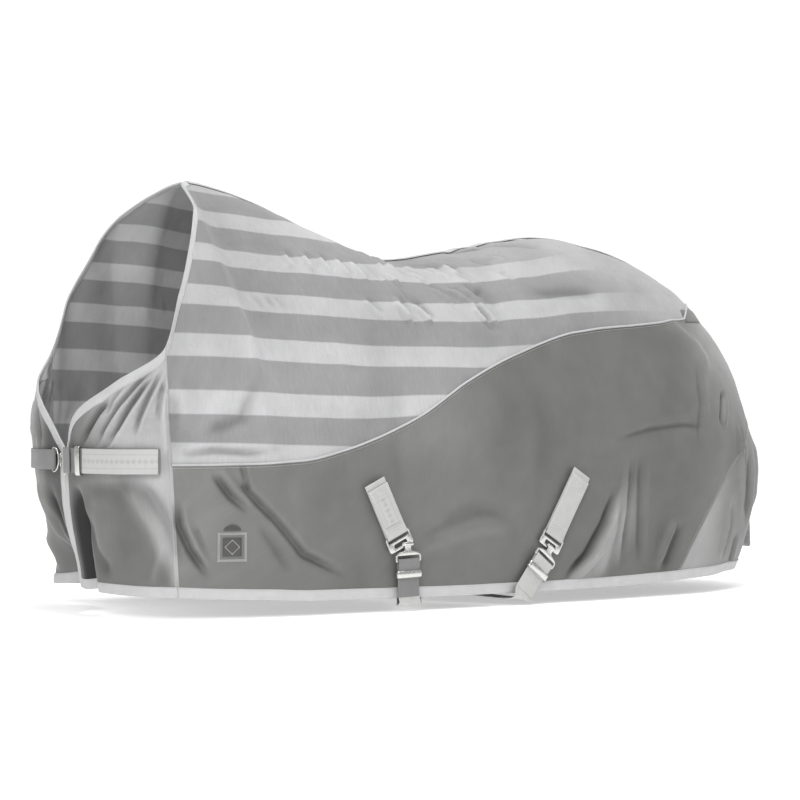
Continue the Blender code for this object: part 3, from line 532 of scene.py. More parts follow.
@dataclass(frozen=True)
class Finish:
    """A finish: what a real material gives the eye, as one Principled material."""

    name: str
    roughness: float = 0.7
    sheen: float = 0.0

    def build(self) -> bpy.types.Material:
        """Makes the material once and returns it."""
        found = bpy.data.materials.get(self.name)
        if found:
            return found
        made = bpy.data.materials.new(self.name)
        made.use_nodes = True
        tree = made.node_tree
        shader = next(n for n in tree.nodes if n.type == "BSDF_PRINCIPLED")
        shader.inputs["Roughness"].default_value = self.roughness
        shader.inputs["Sheen Weight"].default_value = self.sheen
        shader.inputs["Sheen Roughness"].default_value = 0.45
        self.dress(tree, shader)
        return made

    def dress(self, tree: bpy.types.NodeTree, shader: bpy.types.Node) -> None:
        """Adds the finish's own pattern; each kind has its own."""

    def cloth_place(self, tree: bpy.types.NodeTree, across_mm: float,
                    along_mm: float) -> bpy.types.NodeSocket:
        """The place on the cloth, counted in threads of these two pitches."""
        place = add_node(tree, "ShaderNodeUVMap", {"uv_map": "cloth"})
        scale = (1000.0 / along_mm, 1000.0 / across_mm, 1.0)
        return add_node(tree, "ShaderNodeMapping", None, {"Scale": scale},
                        {"Vector": place.outputs[0]}).outputs[0]

    def fold_shaded(self, tree: bpy.types.NodeTree, colour: bpy.types.NodeSocket) -> bpy.types.NodeSocket:
        """A colour with painted shade in the folds and a painted highlight on their ridges."""
        # The fold value holds each point's painted shade and painted highlight.
        fold = add_node(tree, "ShaderNodeAttribute", {"attribute_name": "fold"}).outputs["Fac"]
        tone = add_node(tree, "ShaderNodeMath", {"operation": "ADD"}, {1: 1.0}, {0: fold}).outputs[0]
        return add_node(tree, "ShaderNodeMix", {"data_type": "RGBA", "blend_type": "MULTIPLY"}, {0: 1.0},
                        {6: colour, 7: tone}).outputs[2]

    def mottled(self, tree: bpy.types.NodeTree, colour: bpy.types.NodeSocket, size_mm: float, low: float,
                high: float, stretch: float = 1.0) -> bpy.types.NodeSocket:
        """A colour that drifts lighter and darker over patches of this size."""
        place = self.cloth_place(tree, size_mm * stretch, size_mm)
        noise = add_node(tree, "ShaderNodeTexNoise", None, {"Scale": 1.0, "Detail": 3.0}, {"Vector": place})
        drift = add_node(tree, "ShaderNodeMapRange", None, {1: 0.3, 2: 0.7, 3: low, 4: high},
                         {0: noise.outputs[0]})
        return add_node(tree, "ShaderNodeMix", {"data_type": "RGBA", "blend_type": "MULTIPLY"}, {0: 1.0},
                        {6: colour, 7: drift.outputs[0]}).outputs[2]

    def bumped(self, tree: bpy.types.NodeTree, shader: bpy.types.Node, height: bpy.types.NodeSocket,
               deep_mm: float,
               strength: float = 1.0) -> None:
        """Raises the surface by a height pattern."""
        bump = add_node(tree, "ShaderNodeBump", None, {"Strength": strength, "Distance": deep_mm * MM},
                        {"Height": height})
        tree.links.new(bump.outputs[0], shader.inputs["Normal"])


@dataclass(frozen=True)
class KnittedMesh(Finish):
    """Warp-knitted polyester fly mesh with pale jacquard stripes.

    The knit's holes read as a fine even grain, the stripes as flat pale bands with soft edges, and the
    cloth has the dull sheen of polyester yarn. The holes are 1.3 mm on the real cloth and are drawn at
    3.4 mm, because smaller ones don't show.
    """

    dark: str = "#808081"
    pale: str = "#a6a6a7"
    # croup: the paler colour of the croup and the top of the back, painted light where the knit catches the
    # light from above
    croup: str = "#9b9b9b"
    striped: bool = True

    def dress(self, tree: bpy.types.NodeTree, shader: bpy.types.Node) -> None:
        """Stripes, the croup painted paler where light falls on it, knit holes, slight yarn streaks and
        painted shade in the folds.
        """
        row = add_node(tree, "ShaderNodeAttribute", {"attribute_name": "row"}).outputs["Fac"]
        pale = add_node(tree, "ShaderNodeAttribute", {"attribute_name": "pale"}).outputs["Fac"]
        place = add_node(tree, "ShaderNodeMath", {"operation": "FRACT"}, None, {
            0: add_node(tree, "ShaderNodeMath", {"operation": "ADD"}, {1: 0.5}, {0: row}).outputs[0]})
        middle = add_node(tree, "ShaderNodeMath", {"operation": "SUBTRACT"}, {1: 0.5}, {0: place.outputs[0]})
        away = add_node(tree, "ShaderNodeMath", {"operation": "ABSOLUTE"}, None, {0: middle.outputs[0]})
        band = add_node(tree, "ShaderNodeMapRange", {"interpolation_type": "SMOOTHSTEP"},
                        {1: 0.235, 2: 0.195, 3: 0.0, 4: 1.0 if self.striped else 0.0}, {0: away.outputs[0]})
        stripe = add_node(tree, "ShaderNodeMix", {"data_type": "RGBA"},
                          {6: srgb(self.dark), 7: srgb(self.pale)},
                          {0: band.outputs[0]})
        colour = add_node(tree, "ShaderNodeMix", {"data_type": "RGBA"}, {7: srgb(self.croup)},
                          {0: pale, 6: stripe.outputs[2]}).outputs[2]
        colour = self.mottled(tree, colour, 70.0, 0.95, 1.05)
        colour = self.fold_shaded(tree, self.mottled(tree, colour, 5.0, 0.95, 1.05, 6.0))
        cell = add_node(tree, "ShaderNodeTexVoronoi", {"voronoi_dimensions": "2D"},
                        {"Scale": 1.0, "Randomness": 0.12},
                        {"Vector": self.cloth_place(tree, 3.4, 3.4)})
        hole = add_node(tree, "ShaderNodeMapRange", None, {1: 0.05, 2: 0.34, 3: 0.80, 4: 1.03},
                        {0: cell.outputs["Distance"]})
        colour = add_node(tree, "ShaderNodeMix", {"data_type": "RGBA", "blend_type": "MULTIPLY"}, {0: 1.0},
                          {6: colour, 7: hole.outputs[0]}).outputs[2]
        tree.links.new(colour, shader.inputs["Base Color"])
        self.bumped(tree, shader, cell.outputs["Distance"], 0.8, 0.35)


@dataclass(frozen=True)
class Taffeta(Finish):
    """Plain-woven polyester taffeta with a calendered face.

    It gives a smooth mid grey with a soft satin lift on the ridges of its folds, from its sheen and from a
    painted highlight, with painted shade in the folds, and a faint square weave. The weave is 0.4 mm on the
    real cloth and is drawn at 2.2 mm so that it shows at all.
    """

    colour: str = "#696969"
    other: str = "#676864"
    # paler: the colour that pale mixes towards, painted light on the skirt and the chest front
    paler: str = "#a9a9a9"

    def dress(self, tree: bpy.types.NodeTree, shader: bpy.types.Node) -> None:
        """Two close greys in large drifts, a paler share where the piece's pale value asks for it (painted
        light on the skirt and the chest front), painted shade in the folds, and the weave.
        """
        pale = add_node(tree, "ShaderNodeAttribute", {"attribute_name": "pale"}).outputs["Fac"]
        drift = add_node(tree, "ShaderNodeTexNoise", None, {"Scale": 1.0, "Detail": 2.0},
                         {"Vector": self.cloth_place(tree, 260.0, 260.0)})
        base = add_node(tree, "ShaderNodeMix", {"data_type": "RGBA"},
                        {6: srgb(self.colour), 7: srgb(self.other)},
                        {0: drift.outputs[0]})
        colour = add_node(tree, "ShaderNodeMix", {"data_type": "RGBA"}, {7: srgb(self.paler)},
                          {0: pale, 6: base.outputs[2]}).outputs[2]
        colour = self.mottled(tree, colour, 60.0, 0.95, 1.05)
        colour = self.fold_shaded(tree, self.mottled(tree, colour, 4.0, 0.96, 1.04, 9.0))
        tree.links.new(colour, shader.inputs["Base Color"])
        threads = []
        for way in ("X", "Y"):
            threads.append(add_node(tree, "ShaderNodeTexWave", {"bands_direction": way},
                                    {"Scale": 0.314, "Distortion": 0.4},
                                    {"Vector": self.cloth_place(tree, 2.2, 2.2)}).outputs["Fac"])
        weave = add_node(tree, "ShaderNodeMath", {"operation": "MULTIPLY"}, None,
                         {0: threads[0], 1: threads[1]})
        self.bumped(tree, shader, weave.outputs[0], 0.35, 0.5)


@dataclass(frozen=True)
class RibbedTape(Finish):
    """Woven narrow polyester tape: grosgrain binding or strap webbing.

    Ribs run across it and catch the light one by one. Binding ribs are 0.9 mm and webbing ribs 1.8 mm
    apart on the real tapes; both are drawn a little coarser.
    """

    colour: str = "#cccccd"
    rib_mm: float = 1.8
    twill: bool = False

    def dress(self, tree: bpy.types.NodeTree, shader: bpy.types.Node) -> None:
        """Ribs, and for webbing a herringbone across them, with the hollows between the ribs darker."""
        place = self.cloth_place(tree, self.rib_mm, self.rib_mm)
        ribs = add_node(tree, "ShaderNodeTexWave", {"bands_direction": "X"},
                        {"Scale": 0.314, "Distortion": 0.3},
                        {"Vector": place}).outputs["Fac"]
        if self.twill:
            slant = add_node(tree, "ShaderNodeTexWave", {"bands_direction": "DIAGONAL"}, {"Scale": 0.25},
                             {"Vector": place}).outputs["Fac"]
            ribs = add_node(tree, "ShaderNodeMath", {"operation": "MULTIPLY"}, None,
                            {0: ribs, 1: slant}).outputs[0]
        hollow = add_node(tree, "ShaderNodeMapRange", None, {1: 0.0, 2: 0.8, 3: 0.86, 4: 1.03}, {0: ribs})
        base = add_node(tree, "ShaderNodeMix", {"data_type": "RGBA", "blend_type": "MULTIPLY"},
                        {0: 1.0, 6: srgb(self.colour)}, {7: hollow.outputs[0]}).outputs[2]
        tree.links.new(self.mottled(tree, base, 22.0, 0.95, 1.03), shader.inputs["Base Color"])
        self.bumped(tree, shader, ribs, 0.35, 0.8)


@dataclass(frozen=True)
class WovenLabel(Finish):
    """Damask-woven polyester label: a pale satin ground with a plain row of darker lozenges, no lettering."""

    ground: str = "#b4b4b3"
    figure: str = "#a8a8a7"

    def dress(self, tree: bpy.types.NodeTree, shader: bpy.types.Node) -> None:
        """A row of lozenges down the middle between two thin lines, and the label's fine ribs."""
        place = add_node(tree, "ShaderNodeSeparateXYZ", None, None,
                         {0: add_node(tree, "ShaderNodeUVMap", {"uv_map": "cloth"}).outputs[0]})
        across = add_node(tree, "ShaderNodeMath", {"operation": "ABSOLUTE"}, None,
                          {0: place.outputs[1]}).outputs[0]
        wrap = add_node(tree, "ShaderNodeMath", {"operation": "PINGPONG"}, {1: 0.006},
                        {0: place.outputs[0]}).outputs[0]
        both = add_node(tree, "ShaderNodeMath", {"operation": "ADD"}, None, {0: across, 1: wrap}).outputs[0]
        diamond = add_node(tree, "ShaderNodeMapRange", None, {1: 0.0062, 2: 0.0052, 3: 0.0, 4: 1.0},
                           {0: both})
        off = add_node(tree, "ShaderNodeMath", {"operation": "SUBTRACT"}, {1: 0.0135}, {0: across}).outputs[0]
        line = add_node(tree, "ShaderNodeMath", {"operation": "ABSOLUTE"}, None, {0: off}).outputs[0]
        edge = add_node(tree, "ShaderNodeMapRange", None, {1: 0.0011, 2: 0.0006, 3: 0.0, 4: 1.0}, {0: line})
        mark = add_node(tree, "ShaderNodeMath", {"operation": "MAXIMUM"}, None,
                        {0: diamond.outputs[0], 1: edge.outputs[0]})
        colour = add_node(tree, "ShaderNodeMix", {"data_type": "RGBA"},
                          {6: srgb(self.ground), 7: srgb(self.figure)},
                          {0: mark.outputs[0]}).outputs[2]
        tree.links.new(self.mottled(tree, colour, 12.0, 0.97, 1.02), shader.inputs["Base Color"])
        ribs = add_node(tree, "ShaderNodeTexWave", {"bands_direction": "Y"}, {"Scale": 0.314},
                        {"Vector": self.cloth_place(tree, 1.1, 1.1)}).outputs["Fac"]
        self.bumped(tree, shader, ribs, 0.2, 0.6)


@dataclass(frozen=True)
class Thread(Finish):
    """Bonded polyester sewing thread: a slightly glossy round strand."""

    colour: str = "#dcdcd8"

    def dress(self, tree: bpy.types.NodeTree, shader: bpy.types.Node) -> None:
        """Its colour with the small drift of dyed thread, and its twist."""
        noise = add_node(tree, "ShaderNodeTexNoise", None, {"Scale": 900.0, "Detail": 1.0})
        tone = add_node(tree, "ShaderNodeMapRange", None, {1: 0.3, 2: 0.7, 3: 0.9, 4: 1.04},
                        {0: noise.outputs[0]})
        base = add_node(tree, "ShaderNodeMix", {"data_type": "RGBA", "blend_type": "MULTIPLY"},
                        {0: 1.0, 6: srgb(self.colour)}, {7: tone.outputs[0]})
        tree.links.new(base.outputs[2], shader.inputs["Base Color"])
        self.bumped(tree, shader, noise.outputs[0], 0.1, 0.4)


@dataclass(frozen=True)
class NickelPlate(Finish):
    """Die-cast zinc, polished and nickel-plated: bright, with soft casting ripples and fine rubbing."""

    colour: str = "#c9c9c6"

    def dress(self, tree: bpy.types.NodeTree, shader: bpy.types.Node) -> None:
        """Metal with a slightly uneven polish."""
        shader.inputs["Metallic"].default_value = 1.0
        place = add_node(tree, "ShaderNodeTexCoord").outputs["Object"]
        ripple = add_node(tree, "ShaderNodeTexNoise", None, {"Scale": 160.0, "Detail": 4.0},
                          {"Vector": place})
        tone = add_node(tree, "ShaderNodeMapRange", None, {1: 0.3, 2: 0.7, 3: 0.9, 4: 1.05},
                        {0: ripple.outputs[0]})
        base = add_node(tree, "ShaderNodeMix", {"data_type": "RGBA", "blend_type": "MULTIPLY"},
                        {0: 1.0, 6: srgb(self.colour)}, {7: tone.outputs[0]})
        tree.links.new(base.outputs[2], shader.inputs["Base Color"])
        rub = add_node(tree, "ShaderNodeMapRange", None, {1: 0.3, 2: 0.7, 3: self.roughness - 0.06,
                                                          4: self.roughness + 0.08}, {0: ripple.outputs[0]})
        tree.links.new(rub.outputs[0], shader.inputs["Roughness"])
        self.bumped(tree, shader, ripple.outputs[0], 0.08, 0.3)


MESH = KnittedMesh("knitted_polyester_fly_mesh", 0.72, 0.15)
FLAP_MESH = KnittedMesh("plain_knitted_fly_mesh", 0.72, 0.15, dark="#8e8e8f", striped=False)
SKIRT = Taffeta("calendered_polyester_taffeta", 0.52, 0.12)
GUSSET = Taffeta("pale_polyester_taffeta", 0.50, 0.12, colour="#7a7a79", other="#757574")
BINDING = RibbedTape("grosgrain_binding_tape", 0.62, 0.1, "#c2c2c3", 1.6)
PIPING = RibbedTape("corded_piping_tape", 0.62, 0.1, "#bcbcbd", 1.6)
WEBBING = RibbedTape("polyester_strap_webbing", 0.6, 0.1, "#bcbcba", 2.4, True)
# A copy of the webbing painted darker: painted shade for straps that lie in shadow.
SHADED_WEBBING = RibbedTape("shaded_strap_webbing", 0.6, 0.1, "#7d7d7d", 2.4, True)
LABEL = WovenLabel("damask_woven_label", 0.5, 0.1)
THREAD = Thread("bonded_sewing_thread", 0.45)
DARK_THREAD = Thread("dark_embroidery_thread", 0.5, colour="#4a4949")
STEEL = NickelPlate("nickel_plated_zinc", 0.24)


# ---- making meshes


def shape_object(name: str, verts: Array, faces: list | Array, uv: Array | None, finish: Finish,
                 smooth: bool = True) -> bpy.types.Object:
    """A mesh object from points and faces.

    Args:
        name: The piece's name.
        verts: Points, one row each.
        faces: Corner numbers of each face.
        uv: The place on the cloth of each point in metres, or None.
        finish: Its finish.
        smooth: Whether it is shaded smooth.

    Returns:
        The linked object.
    """
    mesh = bpy.data.meshes.new(name)
    mesh.from_pydata(np.asarray(verts).tolist(), [], np.asarray(faces).tolist() if isinstance(faces,
            np.ndarray) else faces)
    if uv is not None:
        layer = mesh.uv_layers.new(name="cloth")
        corners = np.empty(len(mesh.loops), dtype=np.int32)
        mesh.loops.foreach_get("vertex_index", corners)
        layer.data.foreach_set("uv", np.asarray(uv, np.float32)[corners].ravel())
    mesh.materials.append(finish.build())
    if smooth:
        mesh.shade_smooth()
    mesh.update()
    made = bpy.data.objects.new(name, mesh)
    bpy.context.scene.collection.objects.link(made)
    return made


def add_value(obj: bpy.types.Object, name: str, values: Array) -> None:
    """Stores one number per point for the materials to read."""
    obj.data.attributes.new(name, "FLOAT", "POINT").data.foreach_set("value",
                                                                     np.asarray(values, np.float32).ravel())


def cloth_uv(points: Array) -> Array:
    """Places on the cloth in metres, measured along the rows and down the columns of a grid."""
    along = np.linalg.norm(np.diff(points, axis=1), axis=-1)
    down = np.linalg.norm(np.diff(points, axis=0), axis=-1)
    run = np.concatenate([np.zeros((len(points), 1)), np.cumsum(along, axis=1)], axis=1)
    run -= run[:, run.shape[1] // 2][:, None]
    drop = np.concatenate([np.zeros((1, points.shape[1])), np.cumsum(down, axis=0)], axis=0)
    drop -= drop[-1:]
    return np.stack([run, drop], axis=-1)


def grid_object(name: str, points: Array, finish: Finish, uv: Array | None = None, turned: bool = False
                ) -> bpy.types.Object:
    """A single sheet of cloth from a grid of points, rows by columns."""
    rows, cols = points.shape[:2]
    place = np.arange(rows * cols).reshape(rows, cols)
    quads = np.stack([place[:-1, :-1], place[1:, :-1], place[1:, 1:], place[:-1, 1:]], axis=-1).reshape(-1, 4)
    if turned:
        quads = quads[:, ::-1]
    uv = cloth_uv(points) if uv is None else uv
    return shape_object(name, points.reshape(-1, 3), quads, uv.reshape(-1, 2), finish)


def loft(name: str, rings: Array, finish: Finish, cyclic: bool = False,
         uv: Array | None = None) -> bpy.types.Object:
    """A closed body through rings of points.

    Args:
        name: The piece's name.
        rings: Rings by points by three; each ring is closed.
        finish: Its finish.
        cyclic: Whether the last ring joins the first; otherwise both ends are capped.
        uv: The place on the tape of each point, or None to measure it.

    Returns:
        The object.
    """
    count, around = rings.shape[:2]
    place = np.arange(count * around).reshape(count, around)
    after = np.roll(place, -1, axis=1)
    first, second = (place, np.roll(place, -1, axis=0)) if cyclic else (place[:-1], place[1:])
    first_after, second_after = (after, np.roll(after, -1, axis=0)) if cyclic else (after[:-1], after[1:])
    quads = np.stack([first, second, second_after, first_after], axis=-1).reshape(-1, 4).tolist()
    if not cyclic:
        quads += [place[0].tolist(), place[-1][::-1].tolist()]
    if uv is None:
        middle = rings.mean(axis=1)
        run = np.concatenate([[0.0], np.cumsum(np.linalg.norm(np.diff(middle, axis=0), axis=1))])
        edge = np.linalg.norm(np.diff(rings, axis=1), axis=-1)
        girth = np.concatenate([np.zeros((count, 1)), np.cumsum(edge, axis=1)], axis=1)
        uv = np.stack([np.broadcast_to(run[:, None], girth.shape), girth], axis=-1)
    made = shape_object(name, rings.reshape(-1, 3), quads, uv.reshape(-1, 2), finish)
    work = bmesh.new()
    work.from_mesh(made.data)
    bmesh.ops.recalc_face_normals(work, faces=work.faces)
    work.to_mesh(made.data)
    work.free()
    return made


def resample(points: Array, spacing: float, *others: Array) -> list[Array]:
    """Points at even steps on a smooth curve through some points, and other rows read at the same places.

    Args:
        points: The points to pass through.
        spacing: The step in metres.
        others: Further rows, one per point, to carry along.

    Returns:
        The new points, then each of the others.
    """
    run = np.concatenate([[0.0], np.cumsum(np.linalg.norm(np.diff(points, axis=0), axis=1))])
    at = np.linspace(0.0, run[-1], max(int(run[-1] / spacing), 2) + 1)
    return [hermite(run, rows, at) for rows in (points, *others)]


def webbing(name: str, path: Array, across: Array, width: float, thick: float, finish: Finish,
            spacing: float = 2.5 * MM) -> bpy.types.Object:
    """A flat woven strap with rounded selvedges along a path.

    Args:
        name: The piece's name.
        path: Points on its middle line.
        across: The direction across it at each point.
        width: Its width in metres.
        thick: Its thickness in metres.
        finish: Its finish.
        spacing: Step between cross-sections.

    Returns:
        The strap.
    """
    path, across = np.array(path, float), np.array(across, float)
    middle, side = resample(path, spacing, across)
    side = unit(side)
    along = unit(np.gradient(middle, axis=0))
    out = unit(np.cross(along, side))
    half, h = width / 2, thick / 2
    profile = [(-half, 0.0), (-half + 0.3 * h, 0.62 * h), (-half + 1.1 * h, h), (-0.4 * half, 0.93 * h),
               (0.4 * half, 0.93 * h),
               (half - 1.1 * h, h), (half - 0.3 * h, 0.62 * h), (half, 0.0)]
    profile += [(w, -n) for w, n in profile[6:0:-1]]
    rings = np.stack([middle + side * w + out * n for w, n in profile], axis=1)
    run = np.concatenate([[0.0], np.cumsum(np.linalg.norm(np.diff(middle, axis=0), axis=1))])
    uv = np.stack(np.broadcast_arrays(run[:, None], np.array([w for w, _ in profile])[None, :]), axis=-1)
    return loft(name, rings, finish, uv=uv)


def tube(name: str, path: Array, radius: float, finish: Finish, cyclic: bool = False, around: int = 10
         ) -> bpy.types.Object:
    """A round cord or wire along a path."""
    path = np.array(path, float)
    along = unit(np.roll(path, -1, axis=0) - np.roll(path, 1, axis=0)) if cyclic else unit(np.gradient(path,
            axis=0))
    side = unit(np.cross(along, np.array([0.11, 0.23, 0.97])))
    out = np.cross(along, side)
    turn = np.linspace(0, 2 * math.pi, around, endpoint=False)
    rings = np.stack([path + (side * math.cos(t) + out * math.sin(t)) * radius for t in turn], axis=1)
    return loft(name, rings, finish, cyclic)


def stitches(name: str, path: Array, out: Array, finish: Finish = THREAD, pitch: float = 4.5 * MM,
             gauge: float = 0.55 * MM) -> bpy.types.Object:
    """A row of lockstitches: one small spindle of thread per stitch.

    Args:
        name: The piece's name.
        path: Points along the row.
        out: The outward direction at each point.
        finish: The thread's finish.
        pitch: The length of a stitch; the real one is 3 mm, drawn longer so that it shows.
        gauge: Half the thread's thickness.

    Returns:
        One object with every stitch.
    """
    middle, up = resample(np.array(path, float), pitch, np.array(out, float))
    up, along = unit(up), unit(np.gradient(middle, axis=0))
    side = np.cross(up, along)
    reach = 0.40 * pitch
    corners = np.stack([middle - along * reach, middle + side * gauge, middle + along * reach,
                        middle - side * gauge,
                        middle + up * gauge * 1.3, middle - up * gauge], axis=1)
    base = np.arange(len(middle))[:, None, None] * 6
    one = np.array([(0, 1, 4), (1, 2, 4), (2, 3, 4), (3, 0, 4), (1, 0, 5), (2, 1, 5), (3, 2, 5), (0, 3, 5)])
    return shape_object(name, corners.reshape(-1, 3), (base + one[None]).reshape(-1, 3), None, finish)


def plate(name: str, place: "Seat", outline: list, holes: list, n: float, thick: float, finish: Finish,
          bevel: float = 0.8 * MM) -> bpy.types.Object:
    """A flat casting with rounded edges: an outline and its holes, as (s, w) points of a seat."""
    work = bmesh.new()
    loops = []
    for ring in (outline, *holes):
        verts = [work.verts.new(place.at(s, w, n - thick / 2)) for s, w in ring]
        loops += [work.edges.new((verts[i], verts[(i + 1) % len(verts)])) for i in range(len(verts))]
    filled = bmesh.ops.triangle_fill(work, use_beauty=True, use_dissolve=False, edges=loops)
    faces = [f for f in filled["geom"] if isinstance(f, bmesh.types.BMFace)]
    raised = bmesh.ops.extrude_face_region(work, geom=faces)
    bmesh.ops.translate(work, vec=Vector(place.out * thick),
                        verts=[v for v in raised["geom"] if isinstance(v, bmesh.types.BMVert)])
    bmesh.ops.recalc_face_normals(work, faces=work.faces)
    mesh = bpy.data.meshes.new(name)
    work.to_mesh(mesh)
    work.free()
    mesh.materials.append(finish.build())
    made = bpy.data.objects.new(name, mesh)
    bpy.context.scene.collection.objects.link(made)
    soft = made.modifiers.new("Cast edges", "BEVEL")
    soft.width, soft.segments, soft.limit_method, soft.angle_limit = bevel, 3, "ANGLE", math.radians(40)
    mesh.shade_smooth()
    return made


def join(objs: list[bpy.types.Object], name: str) -> bpy.types.Object:
    """Joins meshes into the first one and names it."""
    with bpy.context.temp_override(active_object=objs[0], selected_editable_objects=objs,
                                   selected_objects=objs):
        bpy.ops.object.join()
    objs[0].name = name
    objs[0].data.name = name
    return objs[0]


# ---- the cloth


STRIPE_Z = (-0.489, -0.389, -0.291, -0.185, -0.085, 0.003, 0.085, 0.160)
STRIPE_ROW = (6.0, 5.0, 4.0, 3.0, 2.0, 1.0, 0.0, -1.0)


def stripe_rows(points: Array) -> Array:
    """The stripe count at each point of the mesh: whole numbers are the middles of the pale bands.

    The bands were cut to run level, dip a little into the hollow of the back and bend down over the croup.
    """
    x, z = points[..., 0], points[..., 2]
    dip_x = (-0.75, -0.57, -0.38, -0.20, 0.00, 0.20, 0.36, 0.55, 0.80)
    low = np.interp(z, (-0.33, -0.10, 0.05), (0.45, 1.0, 1.45))
    dip = hermite(dip_x, (0.002, -0.003, -0.017, -0.027, -0.030, -0.020, -0.002, 0.006, -0.012), x) * low
    dip = dip - 0.009 * step(-0.20, -0.34, z) * step(-0.05, -0.30, x)
    return hermite(np.array(STRIPE_Z), np.array(STRIPE_ROW), z - dip)


@dataclass
class Panels:
    """The four cloth panels of one side, each one continuous sheet with its folds."""

    drape: Drape
    spacing: float = 4.0 * MM
    allowance: float = 7.0 * MM
    made: dict = field(default_factory=dict)

    def count(self, length: float) -> int:
        """How many steps a length takes."""
        return max(int(length / (self.spacing * (1.0 if self.drape.side is Side.LEFT else 1.35))), 4)

    def sheet(self, name: str, u: Array, v: Array, off: float, finish: Finish,
              tone: Array = 0.0) -> bpy.types.Object:
        """Makes one panel at a height off the cloth's middle, with painted shade in its folds, a painted
        highlight on its ridges, and the painted light and shade given in tone.
        """
        made = grid_object(name, self.drape.point(u, v, off), finish, turned=self.drape.side is Side.RIGHT)
        rise = self.drape.relief.folded(u, v) / FOLD_SCALE
        hollow, ridge = HOLLOW_SHADE * np.maximum(rise, -HOLLOW_LIMIT), RIDGE_HIGHLIGHT * np.minimum(rise,
                                                                                               RIDGE_LIMIT)
        add_value(made, "fold", tone + np.where(rise < 0, hollow, ridge))
        self.made[name] = made
        return made

    def build(self) -> dict:
        """Makes the mesh side, the skirt, the gusset and the chest front, and returns them by name."""
        word = self.drape.side.word
        self.mesh_side(word + "_mesh_side")
        self.skirt(word + "_skirt_side")
        self.gusset(word + "_gusset_side")
        self.chest(word + "_chest_front")
        return self.made

    def mesh_side(self, name: str) -> None:
        """Striped mesh from the neck edge and the spine down to the swooping seam."""
        u = np.linspace(SHOULDER, SEAM_END - 0.01, self.count(1.62))[None, :]
        share = np.linspace(0.0, 1.0, self.count(0.50))[:, None]
        low = SHAPE.seam(u)
        low = low + np.minimum(SHAPE.dv(u, low, self.allowance), 0.03)
        u = np.broadcast_to(u, (len(share), u.shape[1]))
        v = share * low
        smooth = SHAPE.point(u, v)
        x, z = smooth[..., 0], smooth[..., 2]
        # Painted light and shade: lighter low on the side, darker along the top of the neck, and the whole
        # far side painted lighter.
        shaded = 0.15 * step(-0.12, -0.26, z) - 0.15 * step(-0.02, 0.08, z) * step(-0.25, -0.42, x)
        shaded = shaded + (0.18 if self.drape.side is Side.RIGHT else 0.0)
        made = self.sheet(name, u, v, -0.4 * MM, MESH, shaded)
        if self.drape.side is Side.RIGHT:
            smooth = smooth + np.stack([0 * u, 0 * u, FAR_STRIPES * step(-0.1, -0.35, smooth[..., 0])],
                                       axis=-1)
        add_value(made, "row", stripe_rows(smooth))
        x, z = smooth[..., 0], smooth[..., 2]
        # Painted light: the croup and the top of the back are painted paler where they catch the light from
        # above.
        pale = 0.92 * step(0.30, 0.56, x + 0.55 * (z + 0.02)) + 0.55 * step(0.00, 0.16, x) * step(-0.05,
                                                                                                  0.02, z)
        add_value(made, "pale", np.clip(pale, 0.0, 0.95))

    def skirt(self, name: str) -> None:
        """Taffeta from the swooping seam to the hem, ending at the slanting gusset seam."""
        across = np.linspace(0.0, 1.0, self.count(1.55))[None, :]
        b = np.concatenate([np.linspace(-0.004, 1.0, self.count(0.50))])[:, None]
        end = hermite(GUSSET_SHARE, GUSSET_U, np.clip(b, 0.0, 1.0))
        u = SHOULDER + 0.02 + across * (end - SHOULDER - 0.02)
        top = SHAPE.seam(u)
        v = np.clip(top + b * (1.0 - top), 0.0, 1.0)
        point = SHAPE.point(u, v)
        x, z = point[..., 0], point[..., 2]
        # Painted shade: darker over the back half of the side and along the bottom.
        shaded = -0.12 * step(0.05, 0.35, x) * step(0.80, 0.60, x) - 0.06 * step(-0.55, -0.66, z)
        made = self.sheet(name, u, v, 0.4 * MM, SKIRT, shaded)
        # Painted light: paler towards the front, along the upper front and in the upper rear corner, and a
        # painted highlight beside the ridge of the fold at the rear hem.
        pale = 0.55 * step(0.60, 0.86, x) * step(-0.40, -0.16, z) + 0.16 * step(-0.42, -0.66, x)
        pale += 0.12 * step(0.10, -0.10, x) * step(-0.45, -0.36, z)
        past = u - np.interp(v, (0.83, 0.90, 0.95, 0.99), (12.55, 12.30, 12.02, 11.6))
        pale += 0.5 * step(0.80, 0.90, v) * step(0.02, 0.10, past) * step(0.85, 0.35, past)
        add_value(made, "pale", pale)

    def gusset(self, name: str) -> None:
        """Paler taffeta between the slanting seam and the rear edge."""
        b = np.linspace(0.0, 1.0, self.count(0.42))[:, None]
        start = hermite(GUSSET_SHARE, GUSSET_U, b)
        start = start - SHAPE.du(start, np.clip(b, 0.02, 0.98), self.allowance)
        u = start + np.linspace(0.0, 1.0, self.count(0.27))[None, :] * (REAR - start)
        top = SHAPE.seam(u)
        v = top + b * (1.0 - top)
        made = self.sheet(name, u, v, -0.4 * MM, GUSSET)
        add_value(made, "pale", 0.55 * step(15.6, 14.4, u) + 0 * v)

    def chest(self, name: str) -> None:
        """The front that wraps round from the shoulder seam to the closure."""
        v = np.linspace(0.0, 1.0, self.count(0.50))[:, None]
        u = np.linspace(0.0, SHOULDER + 0.05, self.count(0.52))[None, :] + 0 * v
        # Painted shade below the strap away from the shoulder seam, and a deep painted shadow along the front
        # edge where the gap between the fronts lies.
        shaded = -0.32 * step(0.40, 0.52, v) * step(2.75, 2.05, u - 1.2 * (v - 0.6)) - 0.50 * step(1.15,
                                                                                                   0.75, u)
        made = self.sheet(name, u, v + 0 * u, 0.9 * MM, SKIRT, shaded)
